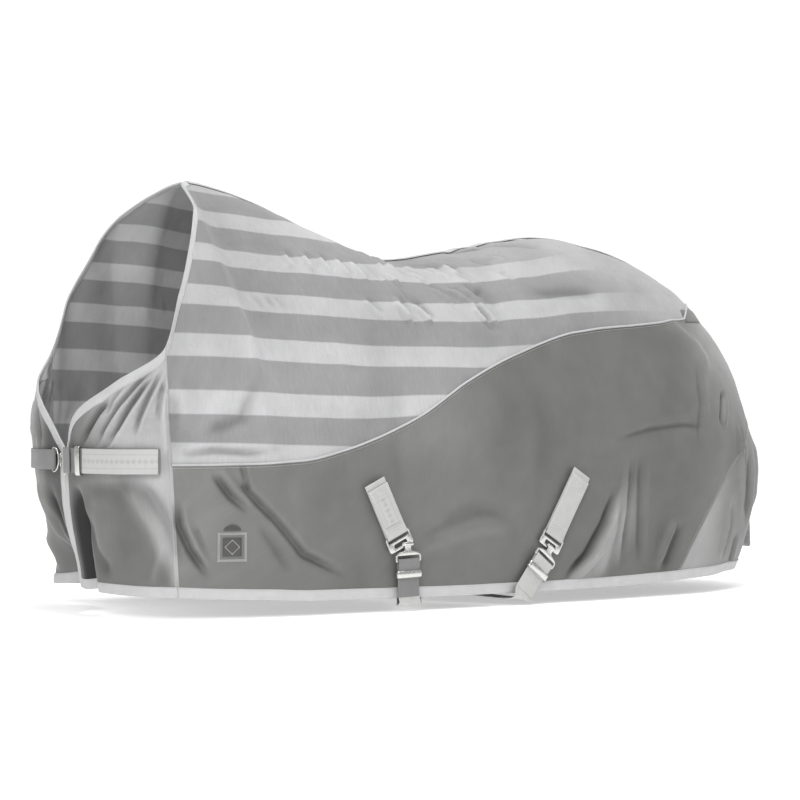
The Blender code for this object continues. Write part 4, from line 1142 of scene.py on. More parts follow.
        # Painted light: the top of the chest front paler towards the shoulder, and a painted highlight beside
        # the ridge of the fold below the strap by the shoulder seam.
        slant = u + 1.6 * np.abs(v - 0.35)
        pale = 0.95 * step(1.1, 2.3, u) * step(0.52, 0.36, v) + 1.0 * step(2.25, 2.75,
                u - 1.5 * (v - 0.62)) * step(0.4, 0.55, v)
        pale += 0.15 * step(1.2, 2.4, slant)
        add_value(made, "pale", np.clip(pale, 0.0, 1.0))


@dataclass
class EdgeTapes:
    """The grosgrain tape folded over every free edge of one side, and its row of stitches."""

    drape: Drape
    width: float = 19.0 * MM
    thick: float = 1.5 * MM
    lip: float = 2.6 * MM
    spacing: float = 7.0 * MM
    made: dict = field(default_factory=dict)

    def fold_over(self, name: str, u: Array, v: Array, way: str, sign: float,
                  thick: float = 0.0) -> bpy.types.Object:
        """Folds tape over the edge through the places (u, v).

        Args:
            name: The piece's name.
            u: Stations along the edge.
            v: Shares along the edge.
            way: "u" or "v", the direction that leads in from the edge.
            sign: +1 if that direction grows inwards, otherwise -1.
            thick: Extra height off the cloth.

        Returns:
            The tape.
        """
        inset = np.array([1.0, 0.93, 0.62, 0.30, 0.0]) * self.width
        rise = np.array([0.25, 0.85, 1.0, 1.0, 1.0]) * (self.thick + thick)
        if way == "v":
            rate = SHAPE.dv(u, v, 1.0)
            us, vs = u[:, None] + 0 * inset, np.clip(v[:, None] + sign * rate[:, None] * inset, 0, 1)
        else:
            rate = SHAPE.du(u, v, 1.0)
            us, vs = np.clip(u[:, None] + sign * rate[:, None] * inset, 0, REAR), v[:, None] + 0 * inset
        base, out = self.drape.raw(us, vs), SHAPE.out(us, vs)
        edge, past = base[:, -1], unit(base[:, -1] - base[:, -2])
        top, under = base + out * rise[:, None], base - out * rise[:, None]
        lip = [edge + past * self.lip * 0.75 + out[:, -1] * rise[-1] * 0.75, edge + past * self.lip,
               edge + past * self.lip * 0.75 - out[:, -1] * rise[-1] * 0.75]
        rings = np.concatenate([top, np.stack(lip, axis=1), under[:, ::-1]], axis=1) * self.drape.flip
        made = loft(name, rings, BINDING)
        row = (base[:, 1] * 0.75 + base[:, 0] * 0.25 + out[:,
                                                           1] * (self.thick + thick) * 0.95) * self.drape.flip
        sewn = stitches(name + "_stitching", row, out[:, 1] * self.drape.flip)
        self.made[name], self.made[name + "_stitching"] = made, sewn
        return made

    def run(self, start: float, end: float, length: float) -> Array:
        """Even places along an edge of about this length."""
        return np.linspace(start, end, int(length / self.spacing))

    def build(self) -> dict:
        """Makes every tape of the side and returns them, with their stitching, by name."""
        word = self.drape.side.word
        u = self.run(SHOULDER + 0.02, PEAK, 0.50)
        self.fold_over(word + "_neck_edge_tape", u, 0 * u, "v", 1, 0.5 * MM)
        u = self.run(0.0, SHOULDER + 0.02, 0.34)
        self.fold_over(word + "_chest_neck_tape", u, 0 * u, "v", 1, 0.6 * MM)
        u = self.run(0.0, SHOULDER + 0.02, 0.45)
        # The far hem is tucked back, so its tape needs more room
        height = (0.6 if self.drape.side is Side.LEFT else 3.2) * MM
        self.fold_over(word + "_chest_hem_tape", u, 0 * u + 1.0, "v", -1, height)
        u = self.run(SHOULDER + 0.02, REAR - 0.05, 1.70)
        self.fold_over(word + "_hem_tape", u, 0 * u + 1.0, "v", -1, 0.4 * MM)
        v = self.run(0.0, 1.0, 0.30)
        self.fold_over(word + "_front_edge_tape", 0 * v, v, "u", 1, 0.8 * MM)
        v = self.run(0.0, 1.0, 0.36)
        self.fold_over(word + "_rear_edge_tape", 0 * v + REAR, v, "u", -1, 0.6 * MM)
        return self.made


@dataclass
class Seams:
    """The corded piping in the swooping seam and the topstitching of one side."""

    drape: Drape
    cord: float = 2.3 * MM
    made: dict = field(default_factory=dict)

    def sewn_row(self, name: str, u: Array, v: Array, off: float) -> None:
        """A row of stitches through places on the cloth."""
        self.made[name] = stitches(name, self.drape.point(u, v, off), SHAPE.out(u, v) * self.drape.flip)

    def build(self) -> dict:
        """Makes the piping and the seam rows, and returns them by name."""
        word = self.drape.side.word
        u = np.linspace(SHOULDER + 0.03, 14.86, 330)
        v = SHAPE.seam(u)
        self.made[word + "_piping"] = tube(word + "_piping", self.drape.point(u, v, 1.2 * MM), self.cord,
                                           PIPING)
        low = v + SHAPE.dv(u, v, 6.5 * MM)
        self.sewn_row(word + "_seam_topstitching", u, low, 0.7 * MM)
        b = np.linspace(0.03, 0.99, 90)
        at = hermite(GUSSET_SHARE, GUSSET_U, b)
        share = SHAPE.seam(at)
        share = share + b * (1.0 - share)
        for k, back in enumerate((2.5 * MM, 7.0 * MM)):
            near = at - SHAPE.du(at, np.clip(share, 0.02, 0.98), back)
            self.sewn_row(f"{word}_gusset_stitching_{k}", near, share, 0.8 * MM)
        v = np.linspace(0.05, 0.97, 100)
        for k, back in enumerate((0.018, 0.036)):
            self.sewn_row(f"{word}_shoulder_stitching_{k}", 0 * v + SHOULDER - back, v, 1.2 * MM)
        return self.made


@dataclass
class SpineTape:
    """The tape that covers the seam along the back, sewn down along both edges."""

    half: float = 10.5 * MM
    rise: float = 3.4 * MM
    made: dict = field(default_factory=dict)

    def build(self) -> dict:
        """Makes the tape and its two rows of stitches, and returns them by name."""
        u = np.linspace(7.02, 16.9, 300)
        rings = []
        for share, height in ((1.0, 0.2), (0.96, 1.0), (0.5, 1.0), (0.0, 1.0)):
            v = SHAPE.dv(u, 0 * u + 0.01, share * self.half)
            rings.append(LEFT.raw(u, v) + SHAPE.out(u, np.maximum(v, 0.012)) * self.rise * height)
        rings[-1][:, 1] = 0.0
        flip = RIGHT.flip
        loop = [*rings, *[r * flip for r in rings[-2::-1]]]
        below = [r - np.array([0, 0, 1.0]) * MM for r in loop[::-1][1:-1]]
        tape = loft("spine_cover_tape", np.stack([*loop, *below], axis=1), BINDING)
        self.made["spine_cover_tape"] = tape
        for word, side in (("left", LEFT), ("right", RIGHT)):
            v = SHAPE.dv(u, 0 * u + 0.01, 0.78 * self.half)
            path = LEFT.raw(u, v) + SHAPE.out(u, np.maximum(v, 0.012)) * (self.rise + 0.1 * MM)
            row = stitches(f"spine_stitching_{word}", path * side.flip,
                           SHAPE.out(u, np.maximum(v, 0.012)) * side.flip)
            self.made[row.name] = row
        return self.made


@dataclass
class TailFlap:
    """The mesh flap over the tail, hung from the end of the spine, with tape on three edges."""

    top: float = -0.318
    bottom: float = -0.632
    x: float = 0.930
    top_half: float = 0.072
    bottom_half: float = 0.112
    tape: float = 19.0 * MM
    made: dict = field(default_factory=dict)

    def point(self, share: Array, side: Array, off: float | Array = 0.0) -> Array:
        """A point of the flap: share down it, side from -1 to 1 across it, off its face."""
        share, side = np.broadcast_arrays(np.asarray(share, float), np.asarray(side, float))
        y = side * (self.top_half + (self.bottom_half - self.top_half) * share)
        across = y / self.bottom_half
        wave = (2.5 * np.sin(4.0 * across + 0.6) + 1.6 * np.sin(9.0 * across + 2.0)) * MM
        x = self.x + 0.008 * np.sin(math.pi * 0.8 * share) - 0.6 * y * y + wave * step(0.05, 0.9, share) + off
        return np.stack([x, y, self.top + share * (self.bottom - self.top)], axis=-1)

    def edge_tape(self, name: str, share: Array, side: Array, inward: tuple[float, float]) -> None:
        """Folds tape over one edge of the flap."""
        inset = np.array([1.0, 0.93, 0.5, 0.0])
        rise = np.array([0.3, 0.9, 1.0, 1.0]) * 1.7 * MM
        ds, dy = inward
        s, w = share[:, None] + ds * inset, side[:, None] + dy * inset
        top, under = self.point(s, w, rise), self.point(s, w, -rise)
        base = self.point(s, w)
        past = unit(base[:, -1] - base[:, -2]) * 2.4 * MM
        rings = np.concatenate([top, (base[:, -1] + past)[:, None], under[:, ::-1]], axis=1)
        self.made[name] = loft(name, rings, BINDING)
        out = np.broadcast_to(np.array([1.0, 0.0, 0.0]), (len(share), 3))
        row = stitches(name + "_stitching", self.point(s[:, 1], w[:, 1], 1.6 * MM), out)
        self.made[row.name] = row

    def build(self) -> dict:
        """Makes the flap, its tapes and its stitches, and returns them by name."""
        share, side = np.linspace(0.0, 1.0, 80)[:, None], np.linspace(-1.0, 1.0, 56)[None, :]
        flap = grid_object("tail_cover", self.point(share, side), FLAP_MESH)
        add_value(flap, "row", np.zeros(len(flap.data.vertices)))
        add_value(flap, "pale", np.zeros(len(flap.data.vertices)))
        self.made["tail_cover"] = flap
        down = np.linspace(0.0, 1.0, 60)
        for word, sign in (("left", -1.0), ("right", 1.0)):
            half = self.top_half + (self.bottom_half - self.top_half) * 0.6
            self.edge_tape(f"tail_cover_{word}_tape", down, 0 * down + sign, (0.0, -sign * self.tape / half))
        across = np.linspace(-0.97, 0.97, 44)
        self.edge_tape("tail_cover_bottom_tape", 0 * across + 1.0, across,
                       (-self.tape / (self.top - self.bottom), 0.0))
        return self.made


# ---- straps and fittings


CLOTH = 2.0 * MM
WEBBING_WIDTH = 50.0 * MM
WEBBING_THICK = 2.4 * MM
METAL = 2.8 * MM
TURN = 3.3 * MM
NEAR = 0.5 * CLOTH + 3.2 * MM + 0.5 * WEBBING_THICK
BAR = NEAR + TURN
HALF_WEB = WEBBING_WIDTH / 2


@dataclass(frozen=True)
class Seat:
    """A place for a strap or fitting: an origin, the way the strap runs, across it and out from the cloth."""

    origin: Array
    along: Array
    across: Array
    out: Array

    def at(self, s: float, w: float, n: float) -> Array:
        """The point s along, w across and n out."""
        return self.origin + self.along * s + self.across * w + self.out * n

    def moved(self, s: float) -> "Seat":
        """The same seat further along the strap."""
        return Seat(self.at(s, 0.0, 0.0), self.along, self.across, self.out)

    @staticmethod
    def on_side(x: float, z: float, down: tuple[float, float, float]) -> "Seat":
        """The seat at (x, z) on the left side whose strap runs the given way."""
        u, v = SHAPE.place(x, z)
        out = SHAPE.out(u, v)
        along = np.array(down, float)
        along = unit(along - out * (along @ out))
        return Seat(SHAPE.point(u, v), along, np.cross(out, along), out)

    @staticmethod
    def on_chest(u: float, side: Side, z: float = -0.414) -> "Seat":
        """The seat on a chest front at strap height; the strap runs away from the closure."""
        v = float(SHAPE.at_height(u, z))
        out = SHAPE.out(u, v)
        along = SHAPE.point(u + 0.1, float(SHAPE.at_height(u + 0.1, z))) - SHAPE.point(u, v)
        along[2] = 0.0
        along = unit(along)
        out = unit(out - along * (out @ along))
        flip = np.array([1.0, float(side.value), 1.0])
        return Seat(SHAPE.point(u, v) * flip, along * flip, np.cross(out, along) * flip, out * flip)


def turned_webbing(seat: Seat, bar: float, tip: float, length: float, near: float, sign: float) -> Array:
    """The middle line of webbing that runs to a bar, turns round it and comes back."""
    far = near + 2 * TURN
    points = [(tip, near), (bar - sign * 0.016, near), (bar, near)]
    for k in range(1, 8):
        angle = math.pi * k / 8
        points.append((bar + sign * TURN * math.sin(angle), near + TURN - TURN * math.cos(angle)))
    points += [(bar, far), (bar - sign * 0.016, far - 0.0016), (length, far - 0.0028)]
    return np.array([seat.at(s, 0.0, n) for s, n in points])


def box_stitch(name: str, seat: Seat, s0: float, s1: float, half: float, n: float, finish: Finish = THREAD
               ) -> bpy.types.Object:
    """The box and cross that sew a strap down, between s0 and s1 and half a width either side."""
    rows = [((s0, -half), (s1, -half)), ((s1, -half), (s1, half)), ((s1, half), (s0, half)),
            ((s0, half), (s0, -half)),
            ((s0, -half), (s1, half)), ((s0, half), (s1, -half))]
    made = []
    for k, (a, b) in enumerate(rows):
        path = np.array([seat.at(a[0] + (b[0] - a[0]) * t, a[1] + (b[1] - a[1]) * t, n) for t in (0.02, 0.5,
                                                                                                  0.98)])
        made.append(stitches(f"{name}_{k}", path, np.tile(seat.out, (3, 1)), finish, 3.6 * MM))
    return join(made, name)


def rounded_plate(s0: float, s1: float, w0: float, w1: float, r: float) -> list:
    """A rectangle's outline in (s, w) with round corners."""
    outline = []
    for s, w, start in ((s1 - r, w1 - r, 0), (s0 + r, w1 - r, 90), (s0 + r, w0 + r, 180),
                        (s1 - r, w0 + r, 270)):
        for k in range(5):
            angle = math.radians(start + 22.5 * k)
            outline.append((s + r * math.cos(angle), w + r * math.sin(angle)))
    return outline


def hook_outline() -> list:
    """The T-shaped hook: a wide base for the webbing, a neck and a round-ended head, pointing up."""
    half = HALF_WEB + 0.005
    right = [(0.0025, half - 0.003), (0.0016, half - 0.0008), (-0.001, half), (-0.010, half),
             (-0.0125, half - 0.0012),
             (-0.0165, half - 0.008), (-0.0192, 0.011), (-0.0215, 0.0075), (-0.0285, 0.007),
             (-0.0298, 0.0085),
             (-0.0302, 0.0122), (-0.0315, 0.0136), (-0.0342, 0.0136), (-0.036, 0.0122), (-0.037, 0.0085)]
    return [*right, *[(s, -w) for s, w in reversed(right)]]


def keeper_ring(name: str, seat: Seat, s: float, low: float, high: float, finish: Finish) -> bpy.types.Object:
    """A moulded ring round the webbing, 14 mm long, with rounded rims."""
    half = HALF_WEB + 0.0009
    rings = []
    for k in range(16):
        angle = 2 * math.pi * k / 16
        lobe = (math.copysign(abs(math.cos(angle)) ** 0.24, math.cos(angle)),
                math.copysign(abs(math.sin(angle)) ** 0.5, math.sin(angle)))
        middle = (low + high) / 2
        ring = []
        for wall, at in ((0.0, -6.2), (0.0, 6.2), (0.9, 7.0), (1.7, 7.0), (2.2, 6.0), (2.35, 0.0),
                         (2.2, -6.0), (1.7, -7.0), (0.9, -7.0)):
            w = lobe[0] * (half + 0.0012 + wall * MM)
            n = middle + lobe[1] * ((high - low) / 2 + wall * MM)
            ring.append(seat.at(s + at * MM, w, n))
        rings.append(ring)
    return loft(name, np.array(rings), finish, cyclic=True)


class Hand(Enum):
    """Which of the two crossed surcingles; the value is its node prefix."""

    FRONT = "front"
    REAR = "rear"


@dataclass
class Surcingle:
    """One crossed surcingle: its sewn tab and eye plate, its T-hook, keeper and strap, and the belly run."""

    hand: Hand
    tab_top: tuple[float, float]
    lock: tuple[float, float]
    hem: tuple[float, float]
    far_end: tuple[float, float]
    middle_z: float
    rise: float
    strap: Finish
    label: bool
    made: dict = field(default_factory=dict)
    hinge: Array = field(default_factory=lambda: np.zeros(3))
    way: Array = field(default_factory=lambda: np.zeros(3))

    def add(self, obj: bpy.types.Object) -> bpy.types.Object:
        """Keeps a piece under its name."""
        self.made[obj.name] = obj
        return obj

    def build(self) -> dict:
        """Makes the fastener on the near side and the strap under the belly, and returns them by name."""
        word = self.hand.value
        down = (self.lock[0] - self.tab_top[0], 0.0, self.lock[1] - self.tab_top[1])
        seat = Seat.on_side(*self.lock, down)
        length = math.dist(self.tab_top, self.lock) * 0.99
        path = turned_webbing(seat, 0.0, -length, -length + 0.012, NEAR, 1)
        self.add(webbing(word + "_tab_webbing", path, np.tile(seat.across, (len(path), 1)), WEBBING_WIDTH,
                         2.2 * MM, WEBBING))
        top = BAR + TURN + 0.5 * WEBBING_THICK
        self.add(box_stitch(word + "_tab_box_stitch", seat, -length + 0.018, -length + 0.046, 0.019,
                            top - 2.4 * MM))
        self.add(box_stitch(word + "_tab_lower_stitch", seat, -0.026, -0.014, 0.021, top - 0.5 * MM))
        outline = rounded_plate(-0.0025, 0.030, -HALF_WEB - 0.005, HALF_WEB + 0.005, 0.005)
        holes = [rounded_plate(0.0013, 0.0105, -HALF_WEB - 0.001, HALF_WEB + 0.001, 0.0012),
                 rounded_plate(0.0155, 0.0245, -0.016, 0.016, 0.003)]
        self.add(plate(word + "_eye_plate_casting", seat, outline, holes, BAR, METAL, STEEL))
        if self.label:
            rows = np.array([seat.at(s, 0.0, top + h) for s,
                             h in ((-0.079, -0.0022), (-0.05, -0.0014), (-0.023, -0.0009))])
            self.add(webbing(word + "_tab_label", rows, np.tile(seat.across, (3, 1)), 0.82 * WEBBING_WIDTH,
                             0.8 * MM, LABEL))
        self.fastening(seat)
        return self.made

    def fastening(self, seat: Seat) -> None:
        """The hook with its button, the folded strap end, the keeper and the belly run."""
        word = self.hand.value
        end_down = (self.hem[0] - self.lock[0], 0.0, self.hem[1] - self.lock[1])
        level = Seat.on_side(float(seat.origin[0]), float(seat.origin[2]), end_down)
        hook_seat = Seat(seat.at(0.058, 0.0, 0.0), level.along, level.across, level.out)
        hook_n = BAR + METAL + 1.2 * MM
        slot = [rounded_plate(-0.0105, -0.0013, -HALF_WEB - 0.001, HALF_WEB + 0.001, 0.0012)]
        self.add(plate(word + "_t_hook_casting", hook_seat, hook_outline(), slot, hook_n, METAL, STEEL))
        button = []
        for radius, height in ((6.2, 1.2), (6.0, 2.0), (4.9, 2.9), (3.0, 3.5), (1.0, 3.7), (0.15, 3.72)):
            ring = []
            for k in range(20):
                angle = 2 * math.pi * k / 20
                ring.append(hook_seat.at(-0.0335 + radius * 0.62 * MM * math.cos(angle),
                                         radius * MM * 1.5 * math.sin(angle), hook_n + height * MM * 0.8))
            button.append(ring)
        self.add(loft(word + "_t_hook_button", np.array(button), STEEL))
        near = hook_n - TURN
        to_hem = (hook_seat.origin[2] + 0.70) / -hook_seat.along[2]
        reach = to_hem - 0.012
        path = turned_webbing(hook_seat, 0.0, reach + 0.0035, 0.036, near, -1)
        self.add(webbing(word + "_strap_tail", path, np.tile(hook_seat.across, (len(path), 1)),
                         WEBBING_WIDTH, 2.2 * MM, self.strap))
        self.add(keeper_ring(word + "_strap_keeper", hook_seat, 0.027, near - 0.0018, near + 0.0068, STEEL))
        self.hinge, self.way = hook_seat.at(reach + 0.0006, 0.0, near), hook_seat.along
        self.belly_run(hook_seat.at(reach + 0.0035, 0.0, near), hook_seat.across,
                       hook_seat.at(to_hem, 0.0, near)[:2])

    def belly_run(self, start: Array, start_across: Array, hem: Array) -> None:
        """The webbing from the near hem, under the belly and up the far side to where it is sewn."""
        word, (far_x, far_z) = self.hand.value, self.far_end
        low, y = -0.7078, hem[1]
        plan = unit(np.array([far_x - hem[0], -2 * y, 0.0]))
        under, side = np.array([plan[1], -plan[0], 0.0]), np.array([1.0, 0.0, 0.0])
        path, across = [start, np.array([hem[0], y - 0.0035, -0.701])], [start_across, start_across]
        for share, z in ((0.0, low), (0.03, low + 0.001), (0.25, low + self.rise), (0.5, self.middle_z),
                         (0.75, low + self.rise)):
            path.append(np.array([hem[0] + share * (far_x - hem[0]), y * (1 - 2 * share), z]))
            across.append(start_across + under if share == 0.0 else under)
        for share, z in ((0.97, low + 0.001), (1.0, low)):
            path.append(np.array([hem[0] + share * (far_x - hem[0]), y * (1 - 2 * share), z]))
            across.append(under + side)
        path.append(np.array([far_x, -y + 0.0045, -0.701]))
        across.append(side)
        lift = 0.5 * CLOTH + 1.8 * MM + 1.2 * MM + 2.8 * MM + 0.5 * WEBBING_THICK
        seat = None
        for z in (-0.680, -0.62, -0.56, -0.50, far_z):
            seat = Seat.on_side(far_x, z, (0.0, 0.0, -1.0))
            path.append(seat.at(0.0, 0.0, lift) * RIGHT.flip)
            across.append(side)
        self.add(webbing(word + "_belly_webbing", np.array(path), unit(np.array(across)), WEBBING_WIDTH,
                         2.2 * MM, WEBBING, 3 * MM))
        flip = RIGHT.flip
        mirrored = Seat(seat.origin * flip, seat.along * flip, seat.across * flip, seat.out * flip)
        self.add(box_stitch(word + "_belly_box_stitch", mirrored, 0.006, 0.044, 0.019, lift + 1.1 * MM))


@dataclass
class ChestClosure:
    """The strap and hook on the near front, and the ring on a short strap on the far front."""

    off: float = 0.5 * CLOTH + 1.8 * MM + 1.2 * MM + 4.2 * MM + 0.5 * WEBBING_THICK
    z: float = STRAP_Z
    made: dict = field(default_factory=dict)

    def add(self, obj: bpy.types.Object) -> bpy.types.Object:
        """Keeps a piece under its name."""
        self.made[obj.name] = obj
        return obj

    def chest_point(self, u: float, off: float) -> Array:
        """A point at strap height this far off the chest."""
        v = float(SHAPE.at_height(u, self.z))
        return SHAPE.point(u, v) + SHAPE.out(u, v) * off

    def build(self) -> dict:
        """Makes the closure and returns its pieces by name."""
        up = np.array([0.0, 0.0, 1.0])
        seat = Seat.on_chest(float(SHAPE.du(0.3, 0.3, 0.047)), Side.LEFT)
        slot = [rounded_plate(-0.0105, -0.0013, -HALF_WEB - 0.001, HALF_WEB + 0.001, 0.0012)]
        self.add(plate("chest_t_hook_casting", seat, hook_outline(), slot, self.off + TURN, METAL, STEEL))
        folded = turned_webbing(seat, 0.0, 0.030, 0.034, self.off, -1)
        body = [self.chest_point(u, self.off + b) for u, b in ((2.75, -0.0035), (2.4, -0.0015), (2.0, 0.0),
                                                               (1.6, 0.0))]
        body += [self.chest_point(u, self.off) for u in (1.35, 1.2, 1.05)]
        tilt = seat.across * math.copysign(1.0, seat.across[2])
        path, dirs = np.array([*body, *folded]), np.array([*[up] * len(body), *[tilt] * len(folded)])
        self.add(webbing("chest_strap_webbing", path, dirs, WEBBING_WIDTH, 2.2 * MM, SHADED_WEBBING))
        patch = [self.chest_point(u, self.off + 0.5 * WEBBING_THICK + 0.0009) for u in (2.72, 2.5, 2.3, 2.0,
                                                                                        1.75, 1.5, 1.3)]
        self.add(webbing("chest_strap_woven_label", np.array(patch), np.tile(up, (7, 1)),
                         0.975 * WEBBING_WIDTH, 0.8 * MM, LABEL))
        slide = Seat.on_chest(1.2, Side.LEFT)
        self.add(keeper_ring("chest_strap_slide", slide, 0.0, self.off - 0.0026, self.off + 0.0044, STEEL))
        right = Seat.on_chest(float(SHAPE.du(0.3, 0.3, 0.027)), Side.RIGHT)
        ring = []
        for k in range(48):
            angle = 2 * math.pi * k / 48
            ring.append(right.at(0.015 * math.cos(angle) * (1.0 if math.cos(angle) < 0 else 0.35),
                                 0.024 * math.sin(angle), self.off + TURN))
        self.add(tube("chest_d_ring", np.array(ring), 1.7 * MM, STEEL, True))
        folded = turned_webbing(right, 0.0, 0.030, 0.034, self.off, -1)
        body = [self.chest_point(u, b) * RIGHT.flip for u, b in ((2.2, 0.0056), (1.9, 0.0056), (1.5,
                0.0058), (1.0, self.off - 0.001))]
        tilt = right.across * math.copysign(1.0, right.across[2])
        path, dirs = np.array([*body, *folded]), np.array([*[up] * 4, *[tilt] * len(folded)])
        self.add(webbing("chest_ring_webbing", path, dirs, 0.040, 2.2 * MM, SHADED_WEBBING))
        return self.made


@dataclass
class Trims:
    """Small things on the cloth: the emblem patch, the rear eyelets and their backing patches."""

    emblem: tuple[float, float] = (-0.548, -0.582)
    emblem_half: float = 0.0262
    made: dict = field(default_factory=dict)

    def patch(self, name: str, drape: Drape, x: Array, z: Array, off: float,
              finish: Finish) -> bpy.types.Object:
        """A closed thin patch that follows the cloth between x and z limits."""
        grid = []
        for zz in np.linspace(z[0], z[1], 7):
            row = []
            for xx in np.linspace(x[0], x[1], 7):
                u, v = SHAPE.place(float(xx), float(zz))
                row.append(drape.point(u, v, off))
            grid.append(row)
        made = grid_object(name, np.array(grid), finish, turned=drape.side is Side.RIGHT)
        solid = made.modifiers.new("Cloth thickness", "SOLIDIFY")
        solid.thickness, solid.offset = 0.6 * MM, 0.0
        self.made[name] = made
        return made

    def build(self) -> dict:
        """Makes the emblem and the eyelets, and returns them by name."""
        (x, z), h = self.emblem, self.emblem_half
        frame_rows = []
        for k, (a, b) in enumerate((((-h, h), (h, h)), ((h, h), (h, -h)), ((h, -h), (-h, -h)), ((-h, -h),
                                                                                                (-h, h)))):
            for lane in (-1.0, 0.0, 1.0):
                inset = 1.0 - lane * 0.0016 / h
                path, outs = [], []
                for t in (0.0, 0.5, 1.0):
                    u, v = SHAPE.place(x + (a[0] + (b[0] - a[0]) * t) * inset,
                                       z + (a[1] + (b[1] - a[1]) * t) * inset)
                    path.append(LEFT.point(u, v, 1.6 * MM))
                    outs.append(SHAPE.out(u, v))
                frame_rows.append(stitches(f"emblem_frame_{k}_{lane}", np.array(path), np.array(outs),
                                           THREAD, 3.4 * MM, 0.9 * MM))
        self.made["emblem_frame"] = join(frame_rows, "emblem_frame")
        self.patch("emblem_ground", LEFT, (x - 0.7 * h, x + 0.7 * h), (z + 0.7 * h, z - 0.7 * h), 1.2 * MM,
                   DARK_THREAD)
        rows = []
        for k, (a, b) in enumerate((((0, 14), (14, 0)), ((14, 0), (0, -14)), ((0, -14), (-14, 0)), ((-14,
                0), (0, 14)))):
            path, outs = [], []
            for t in (0.05, 0.5, 0.95):
                u, v = SHAPE.place(x + (a[0] + (b[0] - a[0]) * t) * MM, z + (a[1] + (b[1] - a[1]) * t) * MM)
                path.append(LEFT.point(u, v, 1.9 * MM))
                outs.append(SHAPE.out(u, v))
            rows.append(stitches(f"emblem_lozenge_{k}", np.array(path), np.array(outs), THREAD, 3.0 * MM,
                                 0.9 * MM))
        for k in range(7):
            width = 0.016 * math.cos((k - 1) / 6.2 * math.pi / 2)
            path, outs = [], []
            for t in (-1.0, 0.0, 1.0):
                u, v = SHAPE.place(x + width * t, z + h + 0.006 + 0.0019 * k)
                path.append(LEFT.point(u, v, 1.3 * MM))
                outs.append(SHAPE.out(u, v))
            rows.append(stitches(f"emblem_cap_{k}", np.array(path), np.array(outs), DARK_THREAD, 3.2 * MM,
                                 1.0 * MM))
        self.made["emblem_figure"] = join(rows, "emblem_figure")
        for drape in DRAPES:
            self.eyelet(drape)
        return self.made

    def eyelet(self, drape: Drape) -> None:
        """The metal eyelet near the seam's end, on its small backing patch."""
        word = drape.side.word
        self.patch(word + "_eyelet_patch", drape, (0.690, 0.765), (-0.098, -0.126), 1.4 * MM, SKIRT)
        seat = Seat.on_side(0.742, -0.145, (0.0, 0.0, -1.0))
        rings, radius = [], 6.2 * MM
        for k in range(24):
            angle = 2 * math.pi * k / 24
            ring = []
            for r, n in ((-2.2, 0.4), (-2.0, 1.4), (-0.8, 2.0), (0.8, 1.9), (2.2, 1.2), (2.6, 0.4)):
                reach = radius + r * MM
                ring.append(seat.at(reach * math.cos(angle), reach * math.sin(angle),
                                    0.5 * CLOTH + (n + 0.4) * MM) * drape.flip)
            rings.append(ring)
        self.made[word + "_eyelet_rim"] = loft(word + "_eyelet_rim", np.array(rings), STEEL, cyclic=True)


# ---- what moves with what


# CAD nodes that each group of pieces stands for, by piece name
SIDE_NODES = {"mesh_side": "upper_mesh", "skirt_side": "lower_skirt", "gusset_side": "rear_gusset",
              "chest_front": "chest_panel",
              "neck_edge_tape": "neck_binding", "chest_neck_tape": "chest_neck_binding",
              "chest_hem_tape": "chest_hem_binding",
              "hem_tape": "hem_binding", "front_edge_tape": "front_edge_binding",
              "rear_edge_tape": "rear_edge_binding",
              "piping": "seam_piping", "eyelet_rim": "rear_eyelet"}
STRAP_NODES = {"tab_webbing": "surcingle_tab", "eye_plate_casting": "surcingle_eye_plate",
               "t_hook_casting": "surcingle_hook",
               "strap_tail": "surcingle_strap_end", "strap_keeper": "surcingle_keeper",
               "belly_webbing": "belly_strap"}
PLAIN_NODES = {"front_tab_label": "front_surcingle_label", "spine_cover_tape": "spine_tape",
               "tail_cover": "tail_flap",
               "tail_cover_left_tape": "tail_flap_left_binding",
               "tail_cover_right_tape": "tail_flap_right_binding",
               "tail_cover_bottom_tape": "tail_flap_bottom_binding", "emblem_ground": "emblem_patch",
               "chest_t_hook_casting": "chest_strap_hook", "chest_strap_webbing": "chest_strap",
               "chest_strap_woven_label": "chest_strap_label", "chest_strap_slide": "chest_strap_slider",
               "chest_d_ring": "chest_ring", "chest_ring_webbing": "chest_ring_strap"}


def stands_for(name: str) -> str | None:
    """The CAD node that a piece replaces, or None for a detail on another piece."""
    for word in ("left", "right"):
        if name.startswith(word + "_") and name[len(word) + 1 :] in SIDE_NODES:
            return f"{word}_{SIDE_NODES[name[len(word) + 1:]]}"
    for word in ("front", "rear"):
        if name.startswith(word + "_") and name[len(word) + 1 :] in STRAP_NODES:
            return f"{word}_{STRAP_NODES[name[len(word) + 1:]]}"
    return PLAIN_NODES.get(name)


def hitch(pieces: dict, body: str) -> None:
    """Rides pieces on a body and replaces their CAD nodes.

    Args:
        pieces: Objects by name.
        body: The CAD body that they move with.
    """
    for name, obj in pieces.items():
        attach(obj, body)
        dress_piece(name, obj)


def dress_piece(name: str, obj: bpy.types.Object) -> None:
    """Replaces the CAD node of a piece."""
    node = stands_for(name)
    if node:
        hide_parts(node)
    LOG.info("%s: %d faces, for %s", name, len(obj.data.polygons), node or "a detail")


